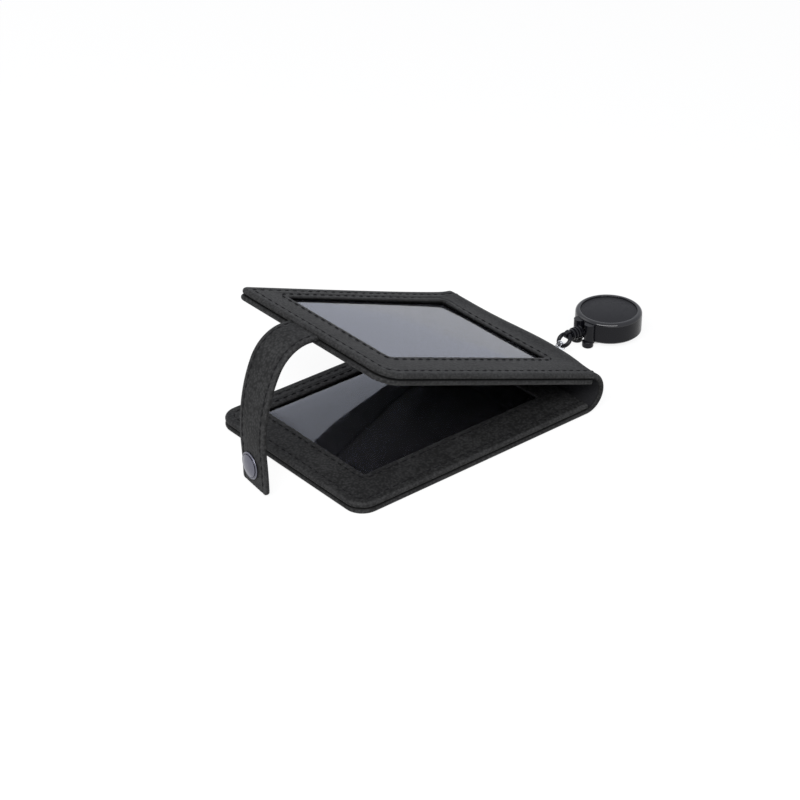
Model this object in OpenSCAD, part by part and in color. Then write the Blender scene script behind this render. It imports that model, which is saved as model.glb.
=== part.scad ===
// Folding badge wallet: two padded leather panels with clear windows, joined by a half-round spine,
// closed by a snap strap, and hung from a retractable cord reel.
// X runs from the free edge to the spine, Y along the spine, Z up from the face that lies on the table.

/* [Panels] */
// Length of the wallet along its spine
wallet_len = 101; // [95:1:110]
// Back panel, from its free edge to the spine
back_w = 132.6; // [126:0.2:142]
// Front cover, from the spine to its free edge
cover_w = 128.8; // [122:0.2:136]
// Thickness of one padded leather layer; a panel is two layers
layer_t = 2.8; // [2.6:0.1:3.4]
// Radius of the panel corners at the free edges
corner_r = 9; // [6:0.5:12]
// Radius of the cover's rear corner at its free edge
cover_rear_r = 4; // [3:0.5:12]
// Angle between the two panels as the wallet stands open
open_angle = 20.3; // [15:0.1:40]

/* [Spine] */
// Outer radius of the spine
spine_r = 10.3; // [9:0.1:11.5]
// Thickness of the spine leather
spine_t = 2; // [1.6:0.1:2.2]
// Thickness of the lining inside the spine
lining_t = 0.8; // [0.5:0.1:1]
// Bevel of the spine's cut ends
spine_bevel = 0.5; // [0.2:0.1:0.7]

/* [Windows] */
// Leather between the window and the front edge
win_front = 19.5; // [16:0.5:22]
// Leather between the window and the rear edge
win_rear = 11.5; // [9.5:0.5:14]
// Leather between the window and the free edge
win_free = 18.5; // [17:0.5:22]
// Leather between the window and the spine
win_spine = 13; // [11:0.5:18]
// Corner radius of the windows
win_r = 1.5; // [1:0.1:3]
// Depth of the clear film below the leather
film_recess = 1.5; // [1.2:0.1:1.6]
// Thickness of the clear film
film_t = 0.4; // [0.3:0.05:0.5]
// Width of film held behind the leather
film_lap = 4; // [3:0.5:5]
// Thickness of the stiffening board inside a panel
board_t = 1; // [0.8:0.1:1.2]
// Margin of the board and its pocket beyond the film
board_lap = 1; // [0.5:0.1:1.5]

/* [Closure strap] */
// Width of the strap
strap_w = 20; // [16:0.5:24]
// Thickness of the strap
strap_t = 2.2; // [1.8:0.1:2.4]
// Length of strap sewn between the two layers of the cover
strap_sewn = 12; // [9:0.5:14]
// Offset of the strap from the middle of the cover's free edge
strap_y = -4; // [-8:0.5:4]
// Angle at which the strap leaves the free edge, towards the rear
strap_skew = 7.5; // [0:0.5:9]
// Straight length of strap beyond the cover's edge
strap_lead = 9; // [7:0.5:11]
// Radius of the upper bend at mid thickness
strap_r1 = 11.5; // [9:0.5:13]
// Turn of the upper bend
strap_turn1 = 77; // [70:1:84]
// Radius of the long lower bend at mid thickness
strap_r2 = 65; // [58:1:72]
// Length of each stretch where the strap flexes
flex_len = 4; // [3:0.5:4.5]
// Height of the strap's lowest corner above the table
strap_gap = 0.3; // [0.3:0.1:2]
// Corner radius of the strap's end
strap_end_r = 2; // [1:0.5:4]
// Bevel along the strap's edges
strap_bevel = 0.4; // [0.2:0.1:0.6]

/* [Snap fastener] */
// Diameter of the domed cap
cap_d = 12.5; // [10:0.5:15]
// Height of the domed cap
cap_h = 2; // [1.6:0.1:2.6]
// Distance from the strap's end to the cap's centre
cap_from_end = 10; // [8.5:0.1:12]
// Offset of the cap from the middle of the strap
cap_off = 1.5; // [0:0.1:2]
// Radius of the post through the strap
post_r = 2.2; // [1.8:0.1:2.4]
// Diameter of the socket behind the strap
socket_d = 10.5; // [9.5:0.5:12]
// Height of the socket
socket_h = 2.2; // [1.8:0.1:2.6]
// Diameter of the stud's base
stud_d = 9.5; // [8:0.5:11]
// Radius of the stud's head
stud_r = 2.5; // [2:0.1:2.8]
// Thickness of the stud's base and of its rivet's flange
stud_base_t = 0.5; // [0.4:0.05:0.6]
// Depth of the dimple that the stud sits in
dimple_h = 1.9; // [1.7:0.05:2]
// Distance of the stud from the free edge
stud_from_edge = 48; // [40:1:56]

/* [Leash] */
// Offset of the leash and reel from the middle of the spine
leash_y = -1.5; // [-6:0.5:6]
// Width of the leather tab on the spine
tab_w = 7; // [6:0.5:8]
// Angle round the spine at which the tab ends above
tab_top = 10; // [5:1:30]
// Thickness of the tab leather
tab_t = 1.2; // [1:0.1:1.4]
// Wire radius of the rectangular spine loop
loop_wire_r = 0.9; // [0.7:0.05:1]
// Clear width inside the spine loop
loop_w = 9.4; // [9:0.1:11]
// Distance between the two long bars of the spine loop
loop_depth = 7; // [6.5:0.1:9]
// Width of the clear strap
vinyl_w = 8.4; // [7:0.1:8.8]
// Width of its neck at the ring
vinyl_neck_w = 2.6; // [2:0.1:3]
// Thickness of one ply of the clear strap
vinyl_t = 0.6; // [0.5:0.05:0.8]
// Distance between the two ends of the clear strap
vinyl_len = 13.1; // [12:0.1:20]
// Rise of the clear strap towards the ring
vinyl_rise = 1.7; // [1:0.1:2]
// Diameter of the small snap on the clear strap
leash_snap_d = 6.5; // [5.5:0.5:7.5]
// Centreline radius of the ring
ring_r = 3.1; // [2.9:0.1:3.6]
// Wire radius of the ring
ring_wire_r = 1; // [0.8:0.05:1.1]
// Tilt of the ring from the table
ring_tilt = 45; // [40:1:50]

/* [Cord end] */
// Diameter of the ribbed ferrule
ferrule_d = 6; // [5:0.1:6.6]
// Length of the ribbed ferrule
ferrule_len = 6.4; // [4:0.1:8]
// Number of ribs on the ferrule
ferrule_ribs = 4; // [3:1:5]
// Depth of the grooves between the ribs
rib_depth = 0.7; // [0.4:0.1:0.9]
// Thickness of the lug that the ring hangs in
lug_t = 1.8; // [1.4:0.1:2.2]
// Diameter of the pull cord
cord_d = 0.9; // [0.7:0.05:1.1]

/* [Reel] */
// Diameter of the reel's case
reel_d = 32; // [30:0.5:36]
// Height of the reel's case
reel_h = 10.7; // [10.3:0.1:12]
// Wall of the case
reel_wall = 1.4; // [1.2:0.1:1.6]
// Height of the front shell's skirt
front_skirt = 1.7; // [1.6:0.1:2.2]
// Roundness of the front rim
rim_r = 1.1; // [0.8:0.1:1.4]
// Width of the rim round the recessed face
rim_w = 2.4; // [2:0.1:3]
// Depth of the recessed face below the rim
face_recess = 0.6; // [0.4:0.1:0.8]
// Thickness of the bare disc in the recess
face_disc_t = 0.5; // [0.4:0.05:0.6]
// Thickness of the front shell below the disc
roof_t = 0.9; // [0.8:0.1:1.2]
// Radius of the two cheeks at the cord outlet
cheek_r = 2.6; // [2.2:0.1:2.8]
// Gap between the cheeks
cheek_gap = 2; // [1.6:0.1:2.6]
// Gap between the spool's flanges and the wall of the case
flange_gap = 1.2; // [0.6:0.1:1.6]
// Depth of the flanges beyond the drum
flange_depth = 3.8; // [3:0.1:4.5]
// Thickness of the spool's flanges
flange_t = 0.8; // [0.6:0.1:1]
// Wall of the drum
drum_wall = 1; // [0.8:0.1:1.2]
// Depth of cord wound on the drum
wound_t = 1.8; // [1:0.1:2.4]
// Radius of the fixed arbor that carries the spool
arbor_r = 2; // [1.8:0.1:2.4]
// Number of turns in the mainspring
spring_turns = 9; // [6:1:11]
// Thickness of the mainspring's strip
spring_t = 0.25; // [0.2:0.01:0.3]
// Height of the mainspring's strip
spring_h = 4; // [3:0.1:4.2]

/* [Belt clip] */
// Width of the spring clip
clip_w = 10; // [8:0.5:14]
// Thickness of its steel
clip_t = 0.7; // [0.6:0.05:0.8]
// Gap between the clip's plate and its tongue
clip_gap = 0.8; // [0.7:0.05:1.2]
// Distance from the reel's centre to the clip's bend
clip_bend_x = 12; // [10:0.5:13]
// Length of the tongue beyond the reel's centre
clip_tip_x = 14; // [12:0.5:15]
// Radius of the clip screw's shank
screw_r = 1; // [0.8:0.05:1.1]
// Radius of the clip screw's head
screw_head_r = 1.9; // [1.6:0.1:2.2]

/* [Fits] */
// Radial clearance of a shaft in its hole
fit = 0.05; // [0.03:0.01:0.1]
// Gap between parts that pass each other
run_gap = 0.3; // [0.2:0.05:0.4]

/* [Hidden] */

arc_fn = 96;
panel_t = 2 * layer_t;
half_len = wallet_len / 2;
fold_x = back_w / 2;
film_z = film_recess + film_t;
board_z = layer_t - board_t / 2;
leather = "#3a3b3d";
lining_grey = "#2c2d2e";
film_blue = [0.55, 0.57, 0.62, 0.5];
gunmetal = "#55565c";
steel = "silver";
black_plastic = "#26262a";

// Where the cover leaves the spine, and the strap's route in the X-Z plane from there.
cover_origin = [fold_x + spine_r * sin(open_angle), spine_r * (1 + cos(open_angle))];
lead_dir = 180 - open_angle;
function along(p, heading, d) = p + d * [cos(heading), sin(heading)];
function bend_centre(p, heading, r) = p + r * [-sin(heading), cos(heading)];
function on_circle(c, r, a) = c + r * [cos(a), sin(a)];
cover_edge = along(along(cover_origin, lead_dir, cover_w), lead_dir + 90, layer_t);
bend1_start = along(cover_edge, lead_dir, strap_lead);
bend1_c = bend_centre(bend1_start, lead_dir, strap_r1);
bend2_dir = lead_dir + strap_turn1;
bend2_start = on_circle(bend1_c, strap_r1, bend2_dir - 90);
bend2_c = bend_centre(bend2_start, bend2_dir, strap_r2);
bend2_turn = 270 - bend2_dir;
tail_top = on_circle(bend2_c, strap_r2, 180);
// The skew turns the whole route about the cover's normal, and lowers the strap's rear corner.
tail_ahead = (tail_top - cover_edge) * [cos(lead_dir), sin(lead_dir)];
skew_drop = tail_ahead * (1 - cos(strap_skew)) * sin(open_angle);
corner_drop = strap_w / 2 * sin(strap_skew) * sin(open_angle);
tail_slope = 1 - pow(sin(open_angle), 2) * (1 - cos(strap_skew));
tail_len = (tail_top[1] - skew_drop - corner_drop - strap_gap) / tail_slope;
end_z = tail_top[1] - tail_len;
cap_z = end_z + cap_from_end;

// The stud under the back panel.
stud_x = stud_from_edge - fold_x;
dimple_r = stud_d / 2 + 1.5;
rivet_r = post_r - 0.7;
rivet_flange_r = stud_d / 2 - 1;

// The leash: the tab's loop round the first bar, the second bar, and the ring.
tab_roll_r = loop_wire_r + fit + tab_t;
tab_angle = -asin((spine_r - tab_roll_r - run_gap) / (spine_r + tab_roll_r + fit));
bar1 = on_circle([fold_x, spine_r], spine_r + tab_roll_r + fit, tab_angle);
bar2 = bar1 + [loop_depth, 0];
vinyl_end = bar2 + [vinyl_len, vinyl_rise];
vinyl_r1 = loop_wire_r + fit;
vinyl_r2 = ring_wire_r + 0.5;
ring_c = along(vinyl_end, ring_tilt, ring_r);
ring_top = along(vinyl_end, ring_tilt, 2 * ring_r);
snap_mid = (bar2 + vinyl_end) / 2;
vinyl_slope = atan2(vinyl_rise, vinyl_len);

// The reel, on its clip, with its cord level with the middle of the case.
clip_h = 2 * clip_t + clip_gap;
reel_top = clip_h + reel_h;
cord_z = clip_h + reel_h / 2;
lug_bore_r = ring_wire_r + 0.25;
lug_r = lug_bore_r + 0.8;
ferrule_x0 = ring_top[0] + lug_r - 0.4;
ferrule_x1 = ferrule_x0 + ferrule_len;
reel_x = ferrule_x1 + cheek_r + 0.2 + reel_d / 2;
split_z = reel_top - front_skirt;
floor_z = clip_h + reel_wall;
roof_z = reel_top - face_recess - face_disc_t - roof_t;
spool_z0 = floor_z + run_gap;
spool_z1 = roof_z - run_gap;
inner_r = reel_d / 2 - reel_wall;
flange_r = inner_r - flange_gap;
drum_r = flange_r - flange_depth;
spring_r0 = arbor_r + run_gap;
spring_r1 = drum_r - drum_wall - run_gap;
spring_z = spool_z0 + flange_t + run_gap;

// Places a panel drawn with its outside face up at z = 0 and its spine side at x = 0.
module on_back() {
    translate([fold_x, 0, 0]) mirror([0, 0, 1]) children();
}

module on_cover() {
    translate([cover_origin[0], 0, cover_origin[1]]) rotate([0, open_angle, 0]) children();
}

// Places what is drawn along the strap's route, in the X-Z plane, at its skew on the cover's edge.
module on_strap() {
    translate([cover_edge[0], strap_y, cover_edge[1]])
        rotate([0, open_angle, 0]) rotate(-strap_skew) rotate([0, -open_angle, 0])
            translate([-cover_edge[0], 0, -cover_edge[1]]) children();
}

// One padded layer: rolled edges on three sides, cut square at the spine.
module padded_layer(w, rear_r) {
    edge_r = layer_t / 2;
    corners = [corner_r, rear_r];
    hull() {
        for (i = [0, 1]) {
            side = 2 * i - 1;
            translate([corners[i] - w, side * (half_len - corners[i]), -edge_r])
                rotate_extrude($fn = 48) translate([corners[i] - edge_r, 0]) circle(edge_r, $fn = 16);
            translate([-1, side * (half_len - edge_r), -edge_r])
                rotate([0, 90, 0]) cylinder(r = edge_r, h = 1, $fn = 16);
        }
    }
}

// A rectangle with round corners, given by its low and high corners.
module round_rect(lo, hi, r) {
    translate([lo[0] + r, lo[1]]) square([hi[0] - lo[0] - 2 * r, hi[1] - lo[1]]);
    translate([lo[0], lo[1] + r]) square([hi[0] - lo[0], hi[1] - lo[1] - 2 * r]);
    for (x = [lo[0] + r, hi[0] - r], y = [lo[1] + r, hi[1] - r])
        translate([x, y]) circle(r, $fn = 48);
}

// The window's outline on a panel of width w, grown by a margin on every side.
module window_outline(w, grow) {
    round_rect([win_free - w - grow, win_front - half_len - grow],
        [grow - win_spine, half_len - win_rear + grow], win_r);
}

// A window frame: the film lies in a rebate behind its lip, and the board fills the rest.
module window_frame(w, rear_r) {
    difference() {
        padded_layer(w, rear_r);
        translate([0, 0, -2 * layer_t]) linear_extrude(3 * layer_t) window_outline(w, 0);
        translate([0, 0, -2 * layer_t]) linear_extrude(2 * layer_t - film_recess)
            window_outline(w, film_lap + board_lap);
    }
}

module window_film(w) {
    translate([0, 0, -film_z]) linear_extrude(film_t) window_outline(w, film_lap);
}

module panel_board(w) {
    translate([0, 0, -layer_t - board_t / 2]) linear_extrude(board_t)
        window_outline(w, film_lap + board_lap);
}

// A strip bent about an axis along Y, from one angle to another.
module spine_strip(r_out, t, width, from, to, bevel) {
    translate([fold_x, 0, spine_r]) rotate([90, 0, 0]) rotate([0, 0, from])
        rotate_extrude(angle = to - from, $fn = arc_fn)
            translate([r_out - t, 0]) bevelled(t, width, bevel);
}

// The cut across a strip: t thick along x, width along y, with bevelled corners.
module bevelled(t, width, bevel) {
    h = width / 2;
    polygon([[bevel, -h], [t - bevel, -h], [t, bevel - h], [t, h - bevel],
        [t - bevel, h], [bevel, h], [0, h - bevel], [0, bevel - h]]);
}

// Strap pieces, laid along the route in the X-Z plane.
module strap_arc(c, r, from, turn) {
    translate([c[0], 0, c[1]]) rotate([90, 0, 0]) rotate([0, 0, from])
        rotate_extrude(angle = turn, $fn = 2 * arc_fn)
            translate([r - strap_t / 2, 0]) bevelled(strap_t, strap_w, strap_bevel);
}

module strap_run(p, heading, from, to) {
    translate([p[0], 0, p[1]]) rotate([0, -heading, 0]) translate([from, 0, -strap_t / 2])
        rotate([90, 0, 90]) linear_extrude(to - from)
            rotate(90) bevelled(strap_t, strap_w, strap_bevel);
}

// The slot between the cover's two layers that holds the sewn end of the strap.
module strap_slot() {
    mouth = strap_lead - flex_len;
    translate([-cover_w, strap_y, -layer_t - strap_t / 2]) rotate(-strap_skew)
        translate([-mouth, -strap_w / 2, 0]) cube([strap_sewn + mouth, strap_w, strap_t]);
}

module back_leather() {
    color(leather) difference() {
        on_back() padded_layer(back_w, corner_r);
        on_back() panel_board(back_w);
        translate([stud_x, 0, -1]) cylinder(r = dimple_r, h = dimple_h + 1, $fn = 64);
        translate([stud_x, 0, 0]) cylinder(r = rivet_r, h = panel_t, $fn = 48);
    }
}

module back_board() {
    color("dimgray") difference() {
        on_back() panel_board(back_w);
        translate([stud_x, 0, 0]) cylinder(r = rivet_flange_r + fit, h = panel_t, $fn = 48);
    }
}

module back_window_frame() {
    color(leather) on_back() translate([0, 0, -panel_t]) mirror([0, 0, 1]) window_frame(back_w, corner_r);
}

module back_window_film() {
    color(film_blue) on_back() translate([0, 0, -panel_t]) mirror([0, 0, 1]) window_film(back_w);
}

module spine_leather() {
    color(leather) spine_strip(spine_r, spine_t, wallet_len - layer_t / 2, -90,
        90 - open_angle, spine_bevel);
}

module spine_lining() {
    color(lining_grey) spine_strip(spine_r - spine_t, lining_t, wallet_len - layer_t, -90,
        90 - open_angle, lining_t / 4);
}

module snap_stud() {
    color(gunmetal) translate([stud_x, 0, 0]) difference() {
        rotate_extrude($fn = 64) polygon([[0, 0], [stud_r - 0.3, 0], [stud_r, 0.3], [stud_r, 0.7],
            [stud_r - 0.4, dimple_h - stud_base_t - 0.1], [stud_d / 2 - 0.3, dimple_h - stud_base_t],
            [stud_d / 2, dimple_h - stud_base_t + 0.2], [stud_d / 2, dimple_h], [0, dimple_h]]);
        translate([0, 0, 0.4]) cylinder(r = rivet_r, h = dimple_h, $fn = 48);
    }
}

module snap_stud_rivet() {
    color(gunmetal) translate([stud_x, 0, 0]) {
        translate([0, 0, 0.4]) cylinder(r = rivet_r, h = board_z - 0.4, $fn = 48);
        translate([0, 0, board_z]) cylinder(r = rivet_flange_r, h = stud_base_t, $fn = 48);
    }
}

// A leather tab sewn to the spine and rolled round the first bar of the spine loop.
module spine_tab() {
    color(leather) translate([0, leash_y, 0]) difference() {
        union() {
            spine_strip(spine_r + tab_t, tab_t, tab_w, tab_angle, tab_top, 0.2);
            translate([bar1[0], tab_w / 2, bar1[1]]) rotate([90, 0, 0])
                cylinder(r = tab_roll_r, h = tab_w, $fn = 48);
        }
        translate([bar1[0], tab_w, bar1[1]]) rotate([90, 0, 0])
            cylinder(r = loop_wire_r + fit, h = 2 * tab_w, $fn = 48);
        translate([fold_x, tab_w, spine_r]) rotate([90, 0, 0])
            cylinder(r = spine_r, h = 2 * tab_w, $fn = arc_fn);
    }
}

module cover_outer_frame() {
    color(leather) on_cover() difference() {
        window_frame(cover_w, cover_rear_r);
        strap_slot();
    }
}

module cover_outer_film() {
    color(film_blue) on_cover() window_film(cover_w);
}

module cover_board() {
    color("dimgray") on_cover() panel_board(cover_w);
}

module cover_inner_frame() {
    color(leather) on_cover() difference() {
        translate([0, 0, -panel_t]) mirror([0, 0, 1]) window_frame(cover_w, cover_rear_r);
        strap_slot();
    }
}

module cover_inner_film() {
    color(film_blue) on_cover() translate([0, 0, -panel_t]) mirror([0, 0, 1]) window_film(cover_w);
}

module strap_root() {
    color(leather) on_strap() strap_run(cover_edge, lead_dir, -strap_sewn, strap_lead - flex_len);
}

module strap_fold() {
    color(leather) on_strap() strap_run(cover_edge, lead_dir, strap_lead - flex_len, strap_lead);
}

module strap_bend() {
    color(leather) on_strap() strap_arc(bend1_c, strap_r1, lead_dir - 90, strap_turn1);
}

module strap_upper() {
    color(leather) on_strap() strap_arc(bend2_c, strap_r2, bend2_dir - 90, bend2_turn);
}

module strap_knee() {
    color(leather) on_strap() strap_run(tail_top, 270, 0, flex_len);
}

module strap_end() {
    color(leather) on_strap() difference() {
        strap_run(tail_top, 270, flex_len, tail_len);
        translate([tail_top[0], 0, end_z]) for (side = [-1, 1])
            translate([0, side * strap_w / 2, 0]) strap_corner(side);
        translate([tail_top[0], cap_off, cap_z]) rotate([0, 90, 0])
            cylinder(r = post_r + fit, h = 2 * strap_t, center = true, $fn = 48);
    }
}

// What is cut off to round one corner of the strap's end.
module strap_corner(side) {
    rotate([0, 90, 0]) linear_extrude(2 * strap_t, center = true) difference() {
        translate([-strap_end_r, side > 0 ? -strap_end_r : 0]) square([2 * strap_end_r, strap_end_r]);
        translate([-strap_end_r, -side * strap_end_r]) circle(strap_end_r, $fn = 48);
    }
}

// The domed cap, with its post through the strap.
module snap_cap() {
    dome_r = (cap_d * cap_d / 4 + cap_h * cap_h) / (2 * cap_h);
    color(gunmetal) on_strap() translate([tail_top[0] - strap_t / 2, cap_off, cap_z]) rotate([0, -90, 0]) {
        intersection() {
            translate([0, 0, cap_h - dome_r]) sphere(r = dome_r, $fn = arc_fn);
            cylinder(r = cap_d / 2 - 0.2, h = cap_h + 1, $fn = 64);
        }
        translate([0, 0, -strap_t - socket_h / 2])
            cylinder(r = post_r, h = strap_t + socket_h / 2 + 0.2, $fn = 48);
    }
}

// The socket behind the strap: a rolled ring round the hole that takes the stud.
module snap_socket() {
    color(gunmetal) on_strap() translate([tail_top[0] + strap_t / 2, cap_off, cap_z]) rotate([0, 90, 0])
        rotate_extrude($fn = 64) polygon([[post_r + fit, 0], [socket_d / 2, 0], [socket_d / 2, 0.5],
            [socket_d / 2 - 1.2, 0.9], [socket_d / 2 - 1.4, socket_h - 0.3],
            [socket_d / 2 - 1.8, socket_h], [stud_r + fit, socket_h],
            [stud_r + fit, socket_h / 2], [post_r + fit, socket_h / 2]]);
}

// A rectangular loop of round wire, with its two long bars along Y.
module spine_loop() {
    bend = 1.4;
    half_w = loop_w / 2 + loop_wire_r;
    color(steel) translate([bar1[0], leash_y, bar1[1]]) {
        for (x = [0, loop_depth])
            translate([x, half_w - bend, 0]) rotate([90, 0, 0])
                cylinder(r = loop_wire_r, h = 2 * (half_w - bend), $fn = 32);
        for (side = [-1, 1]) {
            translate([bend, side * half_w, 0]) rotate([0, 90, 0])
                cylinder(r = loop_wire_r, h = loop_depth - 2 * bend, $fn = 32);
            for (end = [0, 1])
                translate([end ? loop_depth - bend : bend, side * (half_w - bend), 0])
                    rotate([0, 0, side > 0 ? (end ? 0 : 90) : (end ? 270 : 180)])
                        rotate_extrude(angle = 90, $fn = 48)
                            translate([bend, 0]) circle(loop_wire_r, $fn = 32);
        }
    }
}

// The clear strap, doubled round the second bar and round the ring.
module clear_strap() {
    color(film_blue) translate([0, leash_y, 0]) intersection() {
        translate([0, vinyl_w / 2, 0]) rotate([90, 0, 0]) linear_extrude(vinyl_w) difference() {
            union() {
                translate(bar2) circle(vinyl_r1 + vinyl_t, $fn = 48);
                translate(vinyl_end) circle(vinyl_r2 + vinyl_t, $fn = 48);
                translate(bar2) rotate(vinyl_slope) translate([0, -vinyl_t])
                    square([norm(vinyl_end - bar2), 2 * vinyl_t]);
            }
            translate(bar2) circle(vinyl_r1, $fn = 48);
            translate(vinyl_end) circle(vinyl_r2, $fn = 48);
        }
        linear_extrude(reel_top) polygon([[bar2[0] - 3, -vinyl_w / 2], [vinyl_end[0] - 5, -vinyl_w / 2],
            [vinyl_end[0] - 3.2, -vinyl_neck_w / 2], [vinyl_end[0] + 3, -vinyl_neck_w / 2],
            [vinyl_end[0] + 3, vinyl_neck_w / 2], [vinyl_end[0] - 3.2, vinyl_neck_w / 2],
            [vinyl_end[0] - 5, vinyl_w / 2], [bar2[0] - 3, vinyl_w / 2]]);
    }
}

// Places a snap half on the middle of the clear strap.
module on_clear_strap() {
    translate([snap_mid[0], leash_y, snap_mid[1]]) rotate([0, -vinyl_slope, 0]) translate([-1, 0, 0])
        children();
}

module leash_snap_cap() {
    color(gunmetal) on_clear_strap() translate([0, 0, vinyl_t])
        rotate_extrude($fn = 48) polygon([[0, 0], [leash_snap_d / 2, 0], [leash_snap_d / 2, 0.5],
            [leash_snap_d / 2 - 0.6, 1], [0, 1.3]]);
}

module leash_snap_stud() {
    color(gunmetal) on_clear_strap() translate([0, 0, -vinyl_t - 1])
        rotate_extrude($fn = 48) polygon([[0, 0], [leash_snap_d / 2 - 1.2, 0],
            [leash_snap_d / 2 - 0.8, 0.5], [leash_snap_d / 2 - 0.8, 1], [0, 1]]);
}

module leash_ring() {
    color(black_plastic) translate([ring_c[0], leash_y, ring_c[1]]) rotate([0, -ring_tilt, 0])
        rotate_extrude($fn = 64) translate([ring_r, 0]) circle(ring_wire_r, $fn = 32);
}

// The cord's ribbed end, with the lug that the ring hangs in.
module cord_ferrule() {
    pitch = ferrule_len / ferrule_ribs;
    color(black_plastic) translate([0, leash_y, 0]) difference() {
        union() {
            translate([ferrule_x0, 0, cord_z]) rotate([0, 90, 0])
                cylinder(d = ferrule_d - 2 * rib_depth, h = ferrule_len, $fn = 48);
            for (i = [0:ferrule_ribs - 1])
                translate([ferrule_x0 + (i + 0.2) * pitch, 0, cord_z]) rotate([0, 90, 0])
                    cylinder(d = ferrule_d - (i == 0 ? rib_depth : 0), h = 0.6 * pitch, $fn = 48);
            translate([ring_top[0], lug_t / 2, ring_top[1]]) rotate([90, 0, 0])
                cylinder(r = lug_r, h = lug_t, $fn = 32);
            translate([ring_top[0], -lug_t / 2, cord_z - 1])
                cube([ferrule_x0 - ring_top[0] + 0.5, lug_t, 2]);
        }
        translate([ring_top[0], lug_t, ring_top[1]]) rotate([90, 0, 0])
            cylinder(r = lug_bore_r, h = 2 * lug_t, $fn = 32);
        translate([ferrule_x0 + 1, 0, cord_z]) rotate([0, 90, 0])
            cylinder(d = cord_d + 2 * fit, h = ferrule_len, $fn = 32);
    }
}

module pull_cord() {
    wound_x = reel_x - drum_r - wound_t;
    color(lining_grey) translate([ferrule_x0 + 1, leash_y, cord_z]) rotate([0, 90, 0])
        cylinder(d = cord_d, h = wound_x - run_gap - ferrule_x0 - 1, $fn = 24);
}

// Moves to the reel's axis.
module at_reel() {
    translate([reel_x, leash_y, 0]) children();
}

// The rear cup of the case, with two round cheeks that guide the cord.
module reel_back_shell() {
    chamfer = 0.8;
    color(black_plastic) at_reel() difference() {
        union() {
            rotate_extrude($fn = arc_fn) polygon([[0, clip_h], [reel_d / 2 - chamfer, clip_h],
                [reel_d / 2, clip_h + chamfer], [reel_d / 2, split_z], [0, split_z]]);
            for (side = [-1, 1])
                translate([-reel_d / 2, side * (cheek_gap / 2 + cheek_r), clip_h])
                    cylinder(r = cheek_r, h = reel_h - rim_r, $fn = 48);
        }
        translate([0, 0, floor_z]) cylinder(r = inner_r, h = reel_h, $fn = arc_fn);
        translate([0, 0, split_z]) cylinder(r = reel_d / 2 + fit, h = reel_h, $fn = arc_fn);
        translate([0, 0, clip_h - 1]) cylinder(r = screw_r + fit, h = reel_wall + 2, $fn = 32);
        translate([-reel_d / 2 - 2 * cheek_r, -cheek_gap / 2, cord_z - 1.5])
            cube([2 * cheek_r + 2 * reel_wall, cheek_gap, 3]);
    }
}

// The front cap of the case: rounded rim, recessed face and a lip inside the rear cup.
module reel_front_shell() {
    r = reel_d / 2;
    face_z = reel_top - face_recess - face_disc_t;
    color(black_plastic) at_reel() difference() {
        union() {
            translate([0, 0, split_z]) cylinder(r = r, h = front_skirt - rim_r, $fn = arc_fn);
            translate([0, 0, split_z]) cylinder(r = r - rim_r, h = front_skirt, $fn = arc_fn);
            translate([0, 0, reel_top - rim_r]) rotate_extrude($fn = arc_fn)
                translate([r - rim_r, 0]) intersection() {
                    circle(rim_r, $fn = 48);
                    square(rim_r + 1);
                }
            translate([0, 0, split_z - 1]) cylinder(r = inner_r - fit, h = 1.2, $fn = arc_fn);
        }
        translate([0, 0, split_z - 2]) cylinder(r = inner_r - 1, h = roof_z - split_z + 2, $fn = arc_fn);
        translate([0, 0, face_z]) cylinder(r = r - rim_w, h = reel_h, $fn = arc_fn);
    }
}

module reel_face_disc() {
    color("#3f4044") at_reel() translate([0, 0, reel_top - face_recess - face_disc_t])
        cylinder(r = reel_d / 2 - rim_w - fit, h = face_disc_t, $fn = arc_fn);
}

// A cup-shaped drum for the mainspring, between two flanges that hold the cord.
module reel_spool() {
    color("gray") at_reel() difference() {
        union() {
            translate([0, 0, spool_z0]) cylinder(r = flange_r, h = flange_t, $fn = arc_fn);
            translate([0, 0, spool_z0]) cylinder(r = drum_r, h = spool_z1 - spool_z0, $fn = arc_fn);
            translate([0, 0, spool_z1 - flange_t]) cylinder(r = flange_r, h = flange_t, $fn = arc_fn);
        }
        translate([0, 0, spool_z0 + flange_t]) cylinder(r = drum_r - drum_wall, h = reel_h, $fn = arc_fn);
        translate([0, 0, spool_z0 - 1]) cylinder(r = arbor_r + fit, h = reel_h, $fn = 48);
    }
}

module wound_cord() {
    z0 = spool_z0 + flange_t;
    color(lining_grey) at_reel() translate([0, 0, z0]) difference() {
        cylinder(r = drum_r + wound_t, h = spool_z1 - flange_t - z0, $fn = arc_fn);
        translate([0, 0, -1]) cylinder(r = drum_r, h = reel_h, $fn = arc_fn);
    }
}

// The spiral strip that winds the cord back in.
module mainspring() {
    steps = 24 * spring_turns;
    pitch = (spring_r1 - spring_r0 - spring_t) / steps;
    function spiral(i, extra) = (spring_r0 + extra + i * pitch) * [cos(15 * i), sin(15 * i)];
    outer = [for (i = [0:steps]) spiral(i, spring_t)];
    inner = [for (i = [steps:-1:0]) spiral(i, 0)];
    color(steel) at_reel() translate([0, 0, spring_z]) linear_extrude(spring_h)
        polygon(concat(outer, inner));
}

module spring_arbor() {
    color("gray") at_reel() difference() {
        translate([0, 0, floor_z]) cylinder(r = arbor_r, h = roof_z - floor_z, $fn = 48);
        translate([0, 0, floor_z - 1]) cylinder(r = screw_r + fit, h = 5, $fn = 32);
    }
}

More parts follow.
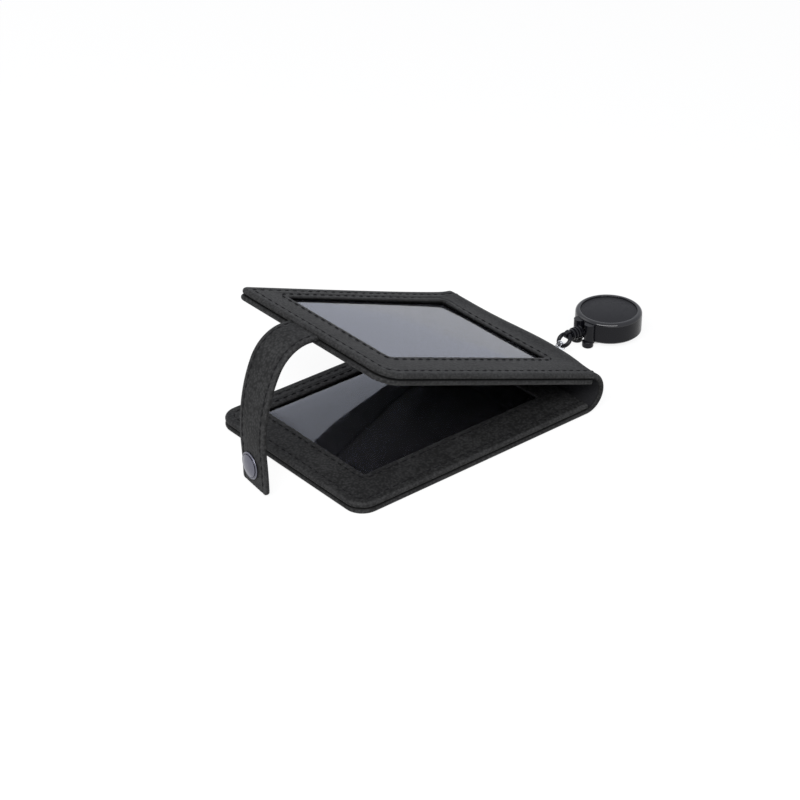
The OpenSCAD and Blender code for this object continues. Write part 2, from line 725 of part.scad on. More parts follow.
// The flat spring clip under the case: a plate, a bend, and a tongue that a belt pushes open.
module clip_plate() {
    color(steel) at_reel() difference() {
        translate([0, 0, clip_t + clip_gap]) linear_extrude(clip_t)
            round_rect([-clip_bend_x + 2, -clip_w / 2], [clip_bend_x, clip_w / 2], 1);
        translate([0, 0, clip_gap]) cylinder(r = screw_r + fit, h = 3 * clip_t, $fn = 32);
    }
}

module clip_bend() {
    r = clip_h / 2;
    color(steel) at_reel() translate([clip_bend_x, 0, r]) rotate([90, 0, 0])
        linear_extrude(clip_w, center = true) difference() {
            circle(r, $fn = 48);
            circle(clip_gap / 2, $fn = 48);
            translate([-2 * r, -r]) square(2 * r);
        }
}

module clip_tongue() {
    color(steel) at_reel() difference() {
        linear_extrude(clip_t) {
            translate([clip_w / 2 - clip_tip_x, -clip_w / 2])
                square([clip_bend_x + clip_tip_x - clip_w / 2, clip_w]);
            translate([clip_w / 2 - clip_tip_x, 0]) circle(clip_w / 2, $fn = 64);
        }
        translate([0, 0, -1]) cylinder(r = screw_head_r + 0.5, h = 3, $fn = 48);
    }
}

module clip_screw() {
    head_t = clip_gap - 0.1;
    color(steel) at_reel() difference() {
        union() {
            translate([0, 0, clip_t + clip_gap - head_t]) cylinder(r = screw_head_r, h = head_t, $fn = 48);
            translate([0, 0, clip_t + clip_gap]) cylinder(r = screw_r, h = reel_wall + 4, $fn = 32);
        }
        translate([-screw_head_r, -0.25, clip_t]) cube([2 * screw_head_r, 0.5, 0.4]);
    }
}

back_leather();
back_board();
back_window_frame();
back_window_film();
spine_leather();
spine_lining();
snap_stud();
snap_stud_rivet();
spine_tab();
cover_outer_frame();
cover_outer_film();
cover_board();
cover_inner_frame();
cover_inner_film();
strap_root();
strap_fold();
strap_bend();
strap_upper();
strap_knee();
strap_end();
snap_cap();
snap_socket();
spine_loop();
clear_strap();
leash_snap_cap();
leash_snap_stud();
leash_ring();
cord_ferrule();
pull_cord();
reel_back_shell();
reel_front_shell();
reel_face_disc();
reel_spool();
wound_cord();
mainspring();
spring_arbor();
clip_plate();
clip_bend();
clip_tongue();
clip_screw();
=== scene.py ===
"""Looks of a folding badge wallet: faux leather, clear windows, stitching, a snap strap and a cord reel.

Lengths in the classes are in millimetres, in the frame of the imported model: X runs from the free edge
to the spine, Y along the spine to the rear, and Z up from the table. A piece's mesh is in metres.
"""
import logging
import math
from dataclasses import dataclass
from enum import Enum
from functools import cached_property
from typing import Callable, Sequence, Union

import bmesh
import bpy
import numpy as np
from mathutils import Matrix, Vector


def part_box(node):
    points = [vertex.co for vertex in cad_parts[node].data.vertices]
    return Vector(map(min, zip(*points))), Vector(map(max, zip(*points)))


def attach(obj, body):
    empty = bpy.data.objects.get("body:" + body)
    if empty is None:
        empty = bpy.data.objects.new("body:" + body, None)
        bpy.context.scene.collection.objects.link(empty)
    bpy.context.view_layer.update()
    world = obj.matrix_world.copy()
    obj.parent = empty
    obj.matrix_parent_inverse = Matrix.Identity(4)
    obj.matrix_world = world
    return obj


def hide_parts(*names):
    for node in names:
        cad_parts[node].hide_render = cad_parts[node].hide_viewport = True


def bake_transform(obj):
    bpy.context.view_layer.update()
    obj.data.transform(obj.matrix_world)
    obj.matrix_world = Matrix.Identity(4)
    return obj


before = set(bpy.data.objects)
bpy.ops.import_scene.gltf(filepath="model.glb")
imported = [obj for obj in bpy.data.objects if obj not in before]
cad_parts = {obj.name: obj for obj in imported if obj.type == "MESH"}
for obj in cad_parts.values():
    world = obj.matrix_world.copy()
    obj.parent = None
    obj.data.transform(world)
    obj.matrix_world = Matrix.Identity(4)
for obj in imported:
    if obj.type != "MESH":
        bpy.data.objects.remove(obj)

LOG = logging.getLogger("wallet")
MM = 0.001
Array = np.ndarray
Colour = tuple[float, float, float]
Placing = tuple[Array, Array]


# Shader wrapper

class Value:
    """A socket's value. Python's operators add the Math nodes that work a number out of it."""

    def __init__(self, tree: "Nodes", socket: bpy.types.NodeSocket) -> None:
        """Keeps the socket and the nodes that it belongs to."""
        self.tree = tree
        self.socket = socket

    def _math(self, operation: str, first: "Input", second: "Input") -> "Value":
        """Adds one Math node and returns its result."""
        return self.tree.node("ShaderNodeMath", {"operation": operation}, {0: first, 1: second})

    def __add__(self, other: "Input") -> "Value":
        """Returns self + other."""
        return self._math("ADD", self, other)

    def __sub__(self, other: "Input") -> "Value":
        """Returns self - other."""
        return self._math("SUBTRACT", self, other)

    def __rsub__(self, other: "Input") -> "Value":
        """Returns other - self."""
        return self._math("SUBTRACT", other, self)

    def __mul__(self, other: "Input") -> "Value":
        """Returns self * other."""
        return self._math("MULTIPLY", self, other)

    __radd__ = __add__
    __rmul__ = __mul__

    def ramp(self, low: float, high: float) -> "Value":
        """Maps low to 0 and high to 1, eased and held between them."""
        settings = {"interpolation_type": "SMOOTHSTEP"}
        return self.tree.node("ShaderNodeMapRange", settings, {0: self, 1: low, 2: high})

    def highest(self, other: "Input") -> "Value":
        """Returns the larger of self and other."""
        return self._math("MAXIMUM", self, other)

    def output(self, name: str) -> "Value":
        """Returns another output of the same node."""
        return Value(self.tree, self.socket.node.outputs[name])


Input = Union[Value, float, Sequence[float]]


class Nodes:
    """The nodes of a material or of the world."""

    def __init__(self, owner: Union[bpy.types.Material, bpy.types.World]) -> None:
        """Gives the material or the world its nodes."""
        owner.use_nodes = True
        self.tree = owner.node_tree

    def _fill(self, socket: bpy.types.NodeSocket, value: Input) -> None:
        """Links or sets one socket; a colour of three numbers gets its alpha."""
        if isinstance(value, Value):
            self.tree.links.new(value.socket, socket)
            return
        if socket.type == "RGBA" and len(value) == 3:
            value = (*value, 1.0)
        socket.default_value = value

    def fill(self, name: str, inputs: dict) -> None:
        """Gives sockets of a node that is there from the start their values or links."""
        for socket, value in inputs.items():
            self._fill(self.tree.nodes[name].inputs[socket], value)

    def node(self, kind: str, settings: dict, inputs: dict, out: Union[int, str] = 0) -> Value:
        """Adds any node.

        Args:
            kind: The node's type.
            settings: Its own settings, which are set first.
            inputs: Values or links of its sockets, by name or number.
            out: The output that is returned.

        Returns:
            That output's value.
        """
        node = self.tree.nodes.new(kind)
        for name, value in settings.items():
            setattr(node, name, value)
        for name, value in inputs.items():
            self._fill(node.inputs[name], value)
        return Value(self, node.outputs[out])

    def seen(self) -> Value:
        """Returns 1 for rays that the camera sees directly, mirrored or through film, and 0 for light."""
        camera = self.node("ShaderNodeLightPath", {}, {}, "Is Camera Ray")
        return camera.highest(camera.output("Is Glossy Ray")).highest(camera.output("Is Transmission Ray"))

    def mix(self, factor: Input, first: Input, second: Input) -> Value:
        """Returns a colour between two colours."""
        settings = {"data_type": "RGBA", "clamp_factor": True}
        return self.node("ShaderNodeMix", settings, {0: factor, 6: first, 7: second}, 2)


class Shader(Nodes):
    """A material with one Principled shader."""

    def __init__(self, name: str) -> None:
        """Makes the material."""
        self.material = bpy.data.materials.new(name)
        super().__init__(self.material)

    def surface(self, colour: Value, roughness: Value, normal: Value, **uniform: float) -> None:
        """Fills the Principled shader.

        Args:
            colour: Its Base Color.
            roughness: Its Roughness.
            normal: Its Normal.
            uniform: Values of its other sockets, by name with _ for a space.
        """
        others = {name.replace("_", " "): value for name, value in uniform.items()}
        inputs = {"Base Color": colour, "Roughness": roughness, "Normal": normal, **others}
        self.fill("Principled BSDF", inputs)

    def place(self, source: "Place") -> Value:
        """Returns the place on a piece that a pattern follows, in mm, from the given source."""
        if source is Place.STORED:
            return self.node("ShaderNodeAttribute", {"attribute_name": "place"}, {}, "Vector")
        metres = self.node("ShaderNodeTexCoord", {}, {}, "Object")
        return self.node("ShaderNodeVectorMath", {"operation": "SCALE"}, {0: metres, "Scale": 1 / MM})

    def mask(self, name: str) -> Value:
        """Reads a number that is stored at each point of the mesh."""
        return self.node("ShaderNodeAttribute", {"attribute_name": name}, {}, "Fac")

    def noise(self, place: Value, per_mm: float, detail: float = 3.0, rough: float = 0.5) -> Value:
        """Returns cloudy noise from 0 to 1 with the given number of blobs per mm."""
        inputs = {"Vector": place, "Scale": per_mm, "Detail": detail, "Roughness": rough}
        return self.node("ShaderNodeTexNoise", {}, inputs)

    def cells(self, place: Value, per_mm: float, smooth: float = 0.6) -> Value:
        """Returns the distance to the nearest cell centre, for cells that number per_mm to a mm."""
        inputs = {"Vector": place, "Scale": per_mm, "Smoothness": smooth}
        return self.node("ShaderNodeTexVoronoi", {"feature": "SMOOTH_F1"}, inputs)

    def waves(self, place: Value, direction: str, per_mm: float, bend: float = 0.0) -> Value:
        """Returns bands from 0 to 1 across a direction, per_mm of them to a mm, which bend a little."""
        inputs = {"Vector": place, "Scale": per_mm * BANDS_SCALE, "Distortion": bend}
        return self.node("ShaderNodeTexWave", {"bands_direction": direction}, inputs)

    def bump(self, height: Value, depth_mm: float) -> Value:
        """Returns a normal that stands for a height of 0 to 1 times depth_mm."""
        return self.node("ShaderNodeBump", {}, {"Height": height, "Distance": depth_mm * MM})


# Finishes

BLACK = (0.0265, 0.0265, 0.0267)
# Painted reflection colour: the films are tinted blue to give the windows the blue cast of the studio light
# that they mirror.
FILM_PAINTED_BLUE_CAST = (0.76, 0.82, 1.0)
BANDS_SCALE = 0.32


class Place(Enum):
    """Where a pattern takes its place from: the piece's stored one, or Object coordinates."""

    STORED = "stored"
    OBJECT = "object"


@dataclass(frozen=True)
class Finish:
    """A finish, whose material is made when it is first asked for.

    Attributes:
        name: The material's name.
        slot: The name of the material slot that it stands for; not used.
        tone: Its colour.
        place: Where its patterns take their place from.
    """

    name: str
    slot: str
    tone: Colour
    place: Place = Place.OBJECT

    @cached_property
    def material(self) -> bpy.types.Material:
        """Returns the material, made from the patterns."""
        shader = Shader(self.name)
        self.dress(shader, shader.place(self.place))
        return shader.material

    def dress(self, s: Shader, place: Value) -> None:
        """Fills the shader with patterns that follow the place."""
        raise NotImplementedError

    def shade(self, share: float) -> list[float]:
        """Returns the tone times a share, and no brighter than white."""
        return [min(1.0, c * share) for c in self.tone]


@dataclass(frozen=True)
class Leather(Finish):
    """Fine grained faux leather.

    Attributes:
        grain: Depth of the grain in mm.
        pebbles: Pebbles of the grain per mm.
        pores: Pores per mm.
        mottles: Mottled patches per mm.
        dark: Share of the tone between the pebbles.
        light: Share of the tone on the pebbles.
        furrow: Share of the tone in the painted shade that the furrow mask lays in stitch furrows, seams and
            recessed or hidden faces.
        worn: Share of the tone on worn edges.
    """

    grain: float = 0.16
    pebbles: float = 0.9
    pores: float = 3.2
    mottles: float = 0.09
    dark: float = 0.45
    light: float = 1.5
    furrow: float = 0.15
    worn: float = 2.2

    def dress(self, s: Shader, place: Value) -> None:
        """Adds pebbled grain and faint mottling, and where masks are stored, painted shade from the furrow
        mask and worn edges.
        """
        pebble = s.cells(place, self.pebbles)
        pores = s.noise(place, self.pores, 4.0, 0.6)
        height = (1 - pebble) * 0.75 + pores * 0.25
        relief = (height * 0.8 + s.noise(place, self.mottles) * 0.4).ramp(0.4, 0.95)
        colour = s.mix(relief, self.shade(self.dark), self.shade(self.light))
        if self.place is Place.STORED:
            # Painted shade: the furrow mask darkens the stitch furrows, the seam between the layers, the
            # window's wall and the spine's hidden inner face.
            colour = s.mix(s.mask("furrow") * 0.9, colour, self.shade(self.furrow))
            colour = s.mix(s.mask("edge") * pores.ramp(0.4, 0.65) * 0.5, colour, self.shade(self.worn))
        roughness = 0.5 + pores * 0.16 - pebble * 0.05
        s.surface(colour, roughness, s.bump(height, self.grain), Specular_IOR_Level=0.1)


@dataclass(frozen=True)
class Thread(Finish):
    """Sewing thread with fibres and a twist.

    Attributes:
        fibres: Fibres per mm.
        turns: Turns of the twist per mm.
        relief: Depth of the twist in mm.
    """

    fibres: float = 5.0
    turns: float = 3.44
    relief: float = 0.06

    def dress(self, s: Shader, place: Value) -> None:
        """Adds the fibres to the colour and gloss, and the twist to the relief."""
        fibre = s.noise(place, self.fibres)
        twist = s.bump(s.waves(place, "DIAGONAL", self.turns), self.relief)
        colour = s.mix(fibre, self.shade(0.5), self.shade(1.5))
        s.surface(colour, 0.55 + fibre * 0.2, twist, Specular_IOR_Level=0.12)


@dataclass(frozen=True)
class ClearFilm(Finish):
    """Clear glossy vinyl.

    Attributes:
        ripple: Depth of its ripples in mm.
        ior: Its index of refraction.
    """

    ripple: float = 0.02
    ior: float = 1.41

    def dress(self, s: Shader, place: Value) -> None:
        """Makes it see-through, with broad faint ripples and handling haze."""
        haze = s.noise(place, 0.12, 5.0, 0.6)
        ripples = s.bump(s.noise(place, 0.05, 1.0), self.ripple)
        roughness = 0.03 + haze.ramp(0.45, 0.8) * 0.05
        colour = s.mix(haze, self.tone, self.shade(0.97))
        s.surface(colour, roughness, ripples, Transmission_Weight=1.0, IOR=self.ior)


@dataclass(frozen=True)
class Plastic(Finish):
    """Moulded plastic.

    Attributes:
        rough: Its roughness.
        texture: Depth of its spark-eroded texture in mm.
        specular: Its specular level.
    """

    rough: float = 0.45
    texture: float = 0.02
    specular: float = 0.5

    def dress(self, s: Shader, place: Value) -> None:
        """Adds a faint texture, smears in the gloss and a little colour drift."""
        smear = s.noise(place, 0.25, 4.0, 0.6)
        texture = s.bump(s.noise(place, 6.0), self.texture)
        roughness = self.rough + smear.ramp(0.4, 0.8) * 0.08
        colour = s.mix(smear, self.shade(0.85), self.shade(1.15))
        s.surface(colour, roughness, texture, Specular_IOR_Level=self.specular)


@dataclass(frozen=True)
class Metal(Finish):
    """Plated or blackened metal.

    Attributes:
        rough: Its roughness.
        brushed: Scratches per mm along each axis.
        scratch: Depth of the scratches in mm.
    """

    rough: float = 0.22
    brushed: tuple[float, float, float] = (9.0, 0.8, 2.0)
    scratch: float = 0.004

    def dress(self, s: Shader, place: Value) -> None:
        """Adds fine scratches and a cloudy variation of its gloss."""
        brushed = s.node("ShaderNodeMapping", {}, {"Vector": place, "Scale": self.brushed})
        scratch = s.noise(brushed, 1.0, 4.0, 0.7)
        colour = s.mix(s.noise(place, 0.5), self.shade(0.88), self.shade(1.1))
        s.surface(colour, self.rough + scratch * 0.12, s.bump(scratch, self.scratch), Metallic=1.0)


@dataclass(frozen=True)
class Cloth(Finish):
    """Woven or braided black cloth, for the lining, the backing and the cord.

    Attributes:
        per_mm: Yarns per mm.
        contrast: How strongly the weave shows, from 0 to 1.
        relief: Depth of the weave in mm at full contrast.
    """

    per_mm: float = 2.4
    contrast: float = 0.35
    relief: float = 0.14

    def dress(self, s: Shader, place: Value) -> None:
        """Crosses two sets of yarns."""
        warp, weft = (s.waves(place, direction, self.per_mm, 0.1) for direction in "XY")
        weave = warp * 0.5 + weft * 0.5
        colour = s.mix(weave, self.shade(1 - self.contrast), self.shade(1 + self.contrast))
        relief = s.bump(weave, self.contrast * self.relief)
        s.surface(colour, 0.7 + weave * 0.15, relief, Specular_IOR_Level=0.06)


@dataclass(frozen=True)
class Finishes:
    """Every finish of the object."""

    leather: Finish = Leather("leather", "black_leather", BLACK, Place.STORED)
    tab: Finish = Leather("tab_leather", "black_leather", BLACK)
    thread: Finish = Thread("thread", "black_leather", (0.008, 0.008, 0.0088), Place.STORED)
    film: Finish = ClearFilm("back_film", "clear_film", FILM_PAINTED_BLUE_CAST)
    cover_film: Finish = ClearFilm("cover_film", "clear_film", FILM_PAINTED_BLUE_CAST, ior=1.245)
    vinyl: Finish = ClearFilm("strap_vinyl", "clear_film", (0.93, 0.95, 1.0), ripple=0.05, ior=1.5)
    backing: Finish = Cloth("backing", "backing_board", (0.041, 0.034, 0.026), contrast=0.04)
    lining: Finish = Cloth("lining", "lining", (0.022, 0.022, 0.024), Place.STORED, 3.0)
    cord: Finish = Cloth("cord", "cord", (0.02, 0.02, 0.02), Place.STORED, 5.0)
    wound: Finish = Cloth("wound_cord", "cord", (0.02, 0.02, 0.02), per_mm=4.0)
    snap: Finish = Metal("snap_metal", "snap_metal", (0.152, 0.152, 0.184), rough=0.24)
    wire: Finish = Metal("wire_metal", "wire_metal", (0.62, 0.62, 0.62))
    spring: Finish = Metal("spring_steel", "spring_steel", (0.5, 0.5, 0.52), rough=0.3)
    case: Finish = Plastic("reel_case", "reel_case", (0.006, 0.006, 0.008), rough=0.07, texture=0.003)
    guide: Finish = Plastic("reel_guide", "reel_case", (0.005, 0.005, 0.007), Place.OBJECT, 0.25, 0.01, 0.2)
    face: Finish = Plastic("reel_face", "reel_face", (0.014, 0.014, 0.0165), specular=0.14)
    spool: Finish = Plastic("spool_plastic", "spool_plastic", (0.3, 0.3, 0.31))


# Surfaces

@dataclass
class Surface:
    """Points and faces of a piece.

    Attributes:
        points: Points, in mm, of shape (n, 3).
        quads: Point numbers of each face, of shape (m, 4).
        furrow: How much painted shade each point gets, from 0 to 1, in stitch furrows, seams, the window's
            wall and hidden faces.
        edge: How much each point lies on a worn edge, from 0 to 1.
        place: The place that patterns follow, in mm, of shape (n, 3).
    """

    points: Array
    quads: Array
    furrow: Array = None
    edge: Array = None
    place: Array = None

    def __post_init__(self) -> None:
        """Fills in what was left out: no furrow, no edge, and the points as the place."""
        count = len(self.points)
        self.furrow = np.zeros(count) if self.furrow is None else self.furrow
        self.edge = np.zeros(count) if self.edge is None else self.edge
        self.place = self.points.copy() if self.place is None else self.place

    def moved(self, turn: Array, shift: Array) -> "Surface":
        """Returns the surface turned by a 3 by 3 matrix and shifted; its place turns with it."""
        points = self.points @ turn.T + shift
        return Surface(points, self.quads, self.furrow, self.edge, self.place @ turn.T + shift)

    @staticmethod
    def joined(parts: Sequence["Surface"]) -> "Surface":
        """Returns several surfaces as one, with their faces renumbered."""
        starts = np.cumsum([0] + [len(p.points) for p in parts[:-1]])
        quads = np.concatenate([p.quads + start for p, start in zip(parts, starts)])
        names = ("points", "furrow", "edge", "place")
        points, *masks = (np.concatenate([getattr(p, name) for p in parts]) for name in names)
        return Surface(points, quads, *masks)


def grid_quads(rows: int, cols: int, wrap_rows: bool, wrap_cols: bool) -> Array:
    """Numbers the faces of a grid: each joins a point to the next one along both ways.

    Args:
        rows: Rows of points.
        cols: Points in a row.
        wrap_rows: Whether the last row joins the first.
        wrap_cols: Whether a row's last point joins its first.

    Returns:
        Point numbers, of shape (faces, 4).
    """
    i, j = np.meshgrid(np.arange(rows - (not wrap_rows)), np.arange(cols - (not wrap_cols)), indexing="ij")
    i2, j2 = (i + 1) % rows, (j + 1) % cols
    return np.stack([i * cols + j, i * cols + j2, i2 * cols + j2, i2 * cols + j], -1).reshape(-1, 4)


def ladder_cap(start: int, count: int, flip: bool) -> Array:
    """Closes a flat loop whose two halves face each other, with rungs from one half to the other.

    Args:
        start: The loop's first point number.
        count: Points in the loop.
        flip: Whether the faces turn the other way round.

    Returns:
        Point numbers, of shape (faces, 4).
    """
    i = np.arange(count // 2)
    cap = start + np.stack([i, (i + 1) % count, (count - i - 1) % count, (count - i) % count], -1)
    return cap[:, ::-1] if flip else cap


def unit(vectors: Array) -> Array:
    """Returns vectors scaled to a length of 1."""
    return vectors / np.linalg.norm(vectors, axis=-1, keepdims=True)


def ease(value: Array, low: float, high: float) -> Array:
    """Returns 0 below low, 1 above high, and 3t^2 - 2t^3 between them."""
    t = np.clip((value - low) / (high - low), 0, 1)
    return t * t * (3 - 2 * t)


def turned(profile: Array, steps: int = 96) -> Surface:
    """Turns a profile about the Z axis.

    A point at radius r and height z, at angle a, is (r cos a, r sin a, z).

    Args:
        profile: Radii and heights along the profile, of shape (n, 2), from the axis to the axis.
        steps: Points round the axis.

    Returns:
        The surface, closed where the profile ends on the axis or joins itself.
    """
    a = np.linspace(0, 2 * np.pi, steps, endpoint=False)
    r, z = profile[:, :1], profile[:, 1:]
    grid = np.stack([r * np.cos(a), r * np.sin(a), z + 0 * a], -1)
    return Surface(grid.reshape(-1, 3), grid_quads(len(profile), steps, False, True))


def turn_y(degrees: float) -> Array:
    """Returns the matrix that turns points about the Y axis, from Z towards X."""
    c, s = math.cos(math.radians(degrees)), math.sin(math.radians(degrees))
    return np.array([[c, 0, s], [0, 1, 0], [-s, 0, c]])


def arc(cx: float, cy: float, r: float, start: float, stop: float, count: int = 8) -> Array:
    """Returns points on a circle round (cx, cy), from one angle to another in degrees."""
    a = np.radians(np.linspace(start, stop, count))
    return np.stack([cx + r * np.cos(a), cy + r * np.sin(a)], -1)


def sampled(at: Array, run: Array, points: Array) -> Array:
    """Returns points read off at distances along their run, with straight lines between them."""
    return np.stack([np.interp(at, run, points[:, k]) for k in range(3)], -1)


def bell(value: Array, centre: float, half: float) -> Array:
    """Returns a bell curve that is 1 at its centre: e to the power of -((value - centre) / half)^2."""
    return np.exp(-(((value - centre) / half) ** 2))


def rounded(distance: Array, r: float) -> Array:
    """Returns the height of a quarter circle of radius r, as a share of r: 0 at its foot and 1 from r on."""
    return np.sqrt(1 - np.clip(1 - distance / r, 0, 1) ** 2)


def carried(grid: Array, place: Array, furrow: Array, edge: Array) -> Surface:
    """Joins sections that follow each other into a closed skin, with a ladder of faces over each end.

    Args:
        grid: Points of the sections, of shape (sections, n, 3).
        place: The place that patterns follow, of the same shape.
        furrow: The furrow mask of painted shade round a section.
        edge: The edge mask round a section.

    Returns:
        The surface.
    """
    rows, cols = grid.shape[:2]
    caps = [ladder_cap(0, cols, True), ladder_cap((rows - 1) * cols, cols, False)]
    faces = np.concatenate([grid_quads(rows, cols, False, True), *caps])
    masks = (np.tile(furrow, rows), np.tile(edge, rows))
    return Surface(grid.reshape(-1, 3), faces, *masks, place.reshape(-1, 3))


def tube(path: Array, radius: Array, sides: int) -> Surface:
    """Carries a circle along a path.

    At each point the circle lies across the path's direction; its first axis is the world's Y axis
    made square to the path, and its second is square to both.

    Args:
        path: Points of the centre line, in mm, of shape (n, 3).
        radius: The circle's radius at each point, 0 where an end closes.
        sides: Points round the circle.

    Returns:
        The surface.
    """
    ahead = unit(np.gradient(path, axis=0))
    first = unit([0.0, 1.0, 0.0] - ahead[:, 1:2] * ahead)
    second = np.cross(ahead, first)
    a = np.linspace(0, 2 * np.pi, sides, endpoint=False)[None, :, None]
    grid = path[:, None] + radius[:, None, None] * (np.cos(a) * first[:, None] + np.sin(a) * second[:, None])
    return Surface(grid.reshape(-1, 3), grid_quads(len(path), sides, False, True))


SHARP_ANGLE = 38.0
MERGE = 0.002


def make_piece(
    name: str, surface: Surface, finish: Finish, replaces: Sequence[str] = (), body: str = ""
) -> bpy.types.Object:
    """Turns a surface into a piece at the origin, with its place in its mesh.

    Args:
        name: The piece's name.
        surface: Its points and faces.
        finish: Its finish.
        replaces: The nodes that it stands for.
        body: The body that it rides on, or nothing for a piece on no body.

    Returns:
        The piece.
    """
    mesh = bpy.data.meshes.new(name)
    mesh.from_pydata((surface.points * MM).tolist(), [], surface.quads.tolist())
    # The furrow mask of painted shade and the edge mask of wear go into the mesh.
    for key, values in (("furrow", surface.furrow), ("edge", surface.edge)):
        mesh.attributes.new(key, "FLOAT", "POINT").data.foreach_set("value", values.astype(np.float32))
    place = mesh.attributes.new("place", "FLOAT_VECTOR", "POINT")
    place.data.foreach_set("vector", surface.place.astype(np.float32).ravel())
    work = bmesh.new()
    work.from_mesh(mesh)
    bmesh.ops.remove_doubles(work, verts=work.verts, dist=MERGE * MM)
    bmesh.ops.dissolve_degenerate(work, edges=work.edges, dist=MERGE / 2 * MM)
    bmesh.ops.recalc_face_normals(work, faces=work.faces)
    work.to_mesh(mesh)
    work.free()
    mesh.polygons.foreach_set("use_smooth", np.ones(len(mesh.polygons), bool))
    mesh.set_sharp_from_angle(angle=math.radians(SHARP_ANGLE))
    mesh.materials.append(finish.material)
    piece = bpy.data.objects.new(name, mesh)
    bpy.context.scene.collection.objects.link(piece)
    if replaces:
        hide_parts(*replaces)
    if body:
        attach(piece, body)
    LOG.info("%s: %d faces", name, len(mesh.polygons))
    return piece


# Outlines and panels

@dataclass(frozen=True)
class Outline:
    """A rectangle with round corners in a panel's plane.

    Attributes:
        x0: Low side along X.
        x1: High side along X.
        y0: Low side along Y.
        y1: High side along Y.
        radii: Corner radii at (x0, y0), (x1, y0), (x1, y1) and (x0, y1).
        square_x1: Whether the side at x1 is cut square, so that insets leave it where it is.
    """

    x0: float
    x1: float
    y0: float
    y1: float
    radii: tuple[float, float, float, float]
    square_x1: bool = False

    def loop(self, inset: float, long_side: int, short_side: int, corner: int) -> Array:
        """Walks round the outline, starting at the corner (x0, y0).

        Each corner is a quarter circle whose radius shrinks with the inset, and each side is evenly
        spaced. Every loop has the same number of points, so loops pair up point by point.

        Args:
            inset: How far inside the outline the loop runs; outside where negative.
            long_side: Points inside each side along X.
            short_side: Points inside each side along Y.
            corner: Points on each corner.

        Returns:
            The loop's points, of shape (n, 2).
        """
        x0, y0, y1 = self.x0 + inset, self.y0 + inset, self.y1 - inset
        x1 = self.x1 - (0 if self.square_x1 else inset)
        r = [max(0.0, radius - inset) if radius > 0 else 0.0 for radius in self.radii]
        corners, inwards = ((x0, y0), (x1, y0), (x1, y1), (x0, y1)), ((1, 1), (-1, 1), (-1, -1), (1, -1))
        arcs = [
            arc(x + u * r[i], y + v * r[i], r[i], 180 + 90 * i, 270 + 90 * i, corner)
            for i, ((x, y), (u, v)) in enumerate(zip(corners, inwards))
        ]
        counts = [long_side, short_side, long_side, short_side]
        parts = []
        for i in range(4):
            share = np.linspace(0, 1, counts[i] + 2)[1:-1, None]
            parts += [arcs[i], arcs[i][-1] * (1 - share) + arcs[(i + 1) % 4][0] * share]
        return np.concatenate(parts)


class Row(Enum):
    """A row of stitches on a panel, along its edges or round its window, with its thread's radius."""

    EDGE = 0.27
    WINDOW = 0.4


@dataclass
class Ring:
    """One loop of a panel's surface: its points in the plane, its height, and its masks."""

    points: Array
    z: Union[float, Array]
    furrow: float = 0.0
    edge: float = 0.0


ROW_STEPS = np.array([-1.5, -0.9, -0.6, -0.4, -0.2, 0.0, 0.2, 0.4, 0.6, 0.9, 1.5])
WINDOW_STEPS = np.array([1.2, 0.8, 0.6, 0.4, 0.2, 0.0, -0.2, -0.4, -0.6, -0.8, -1.2])


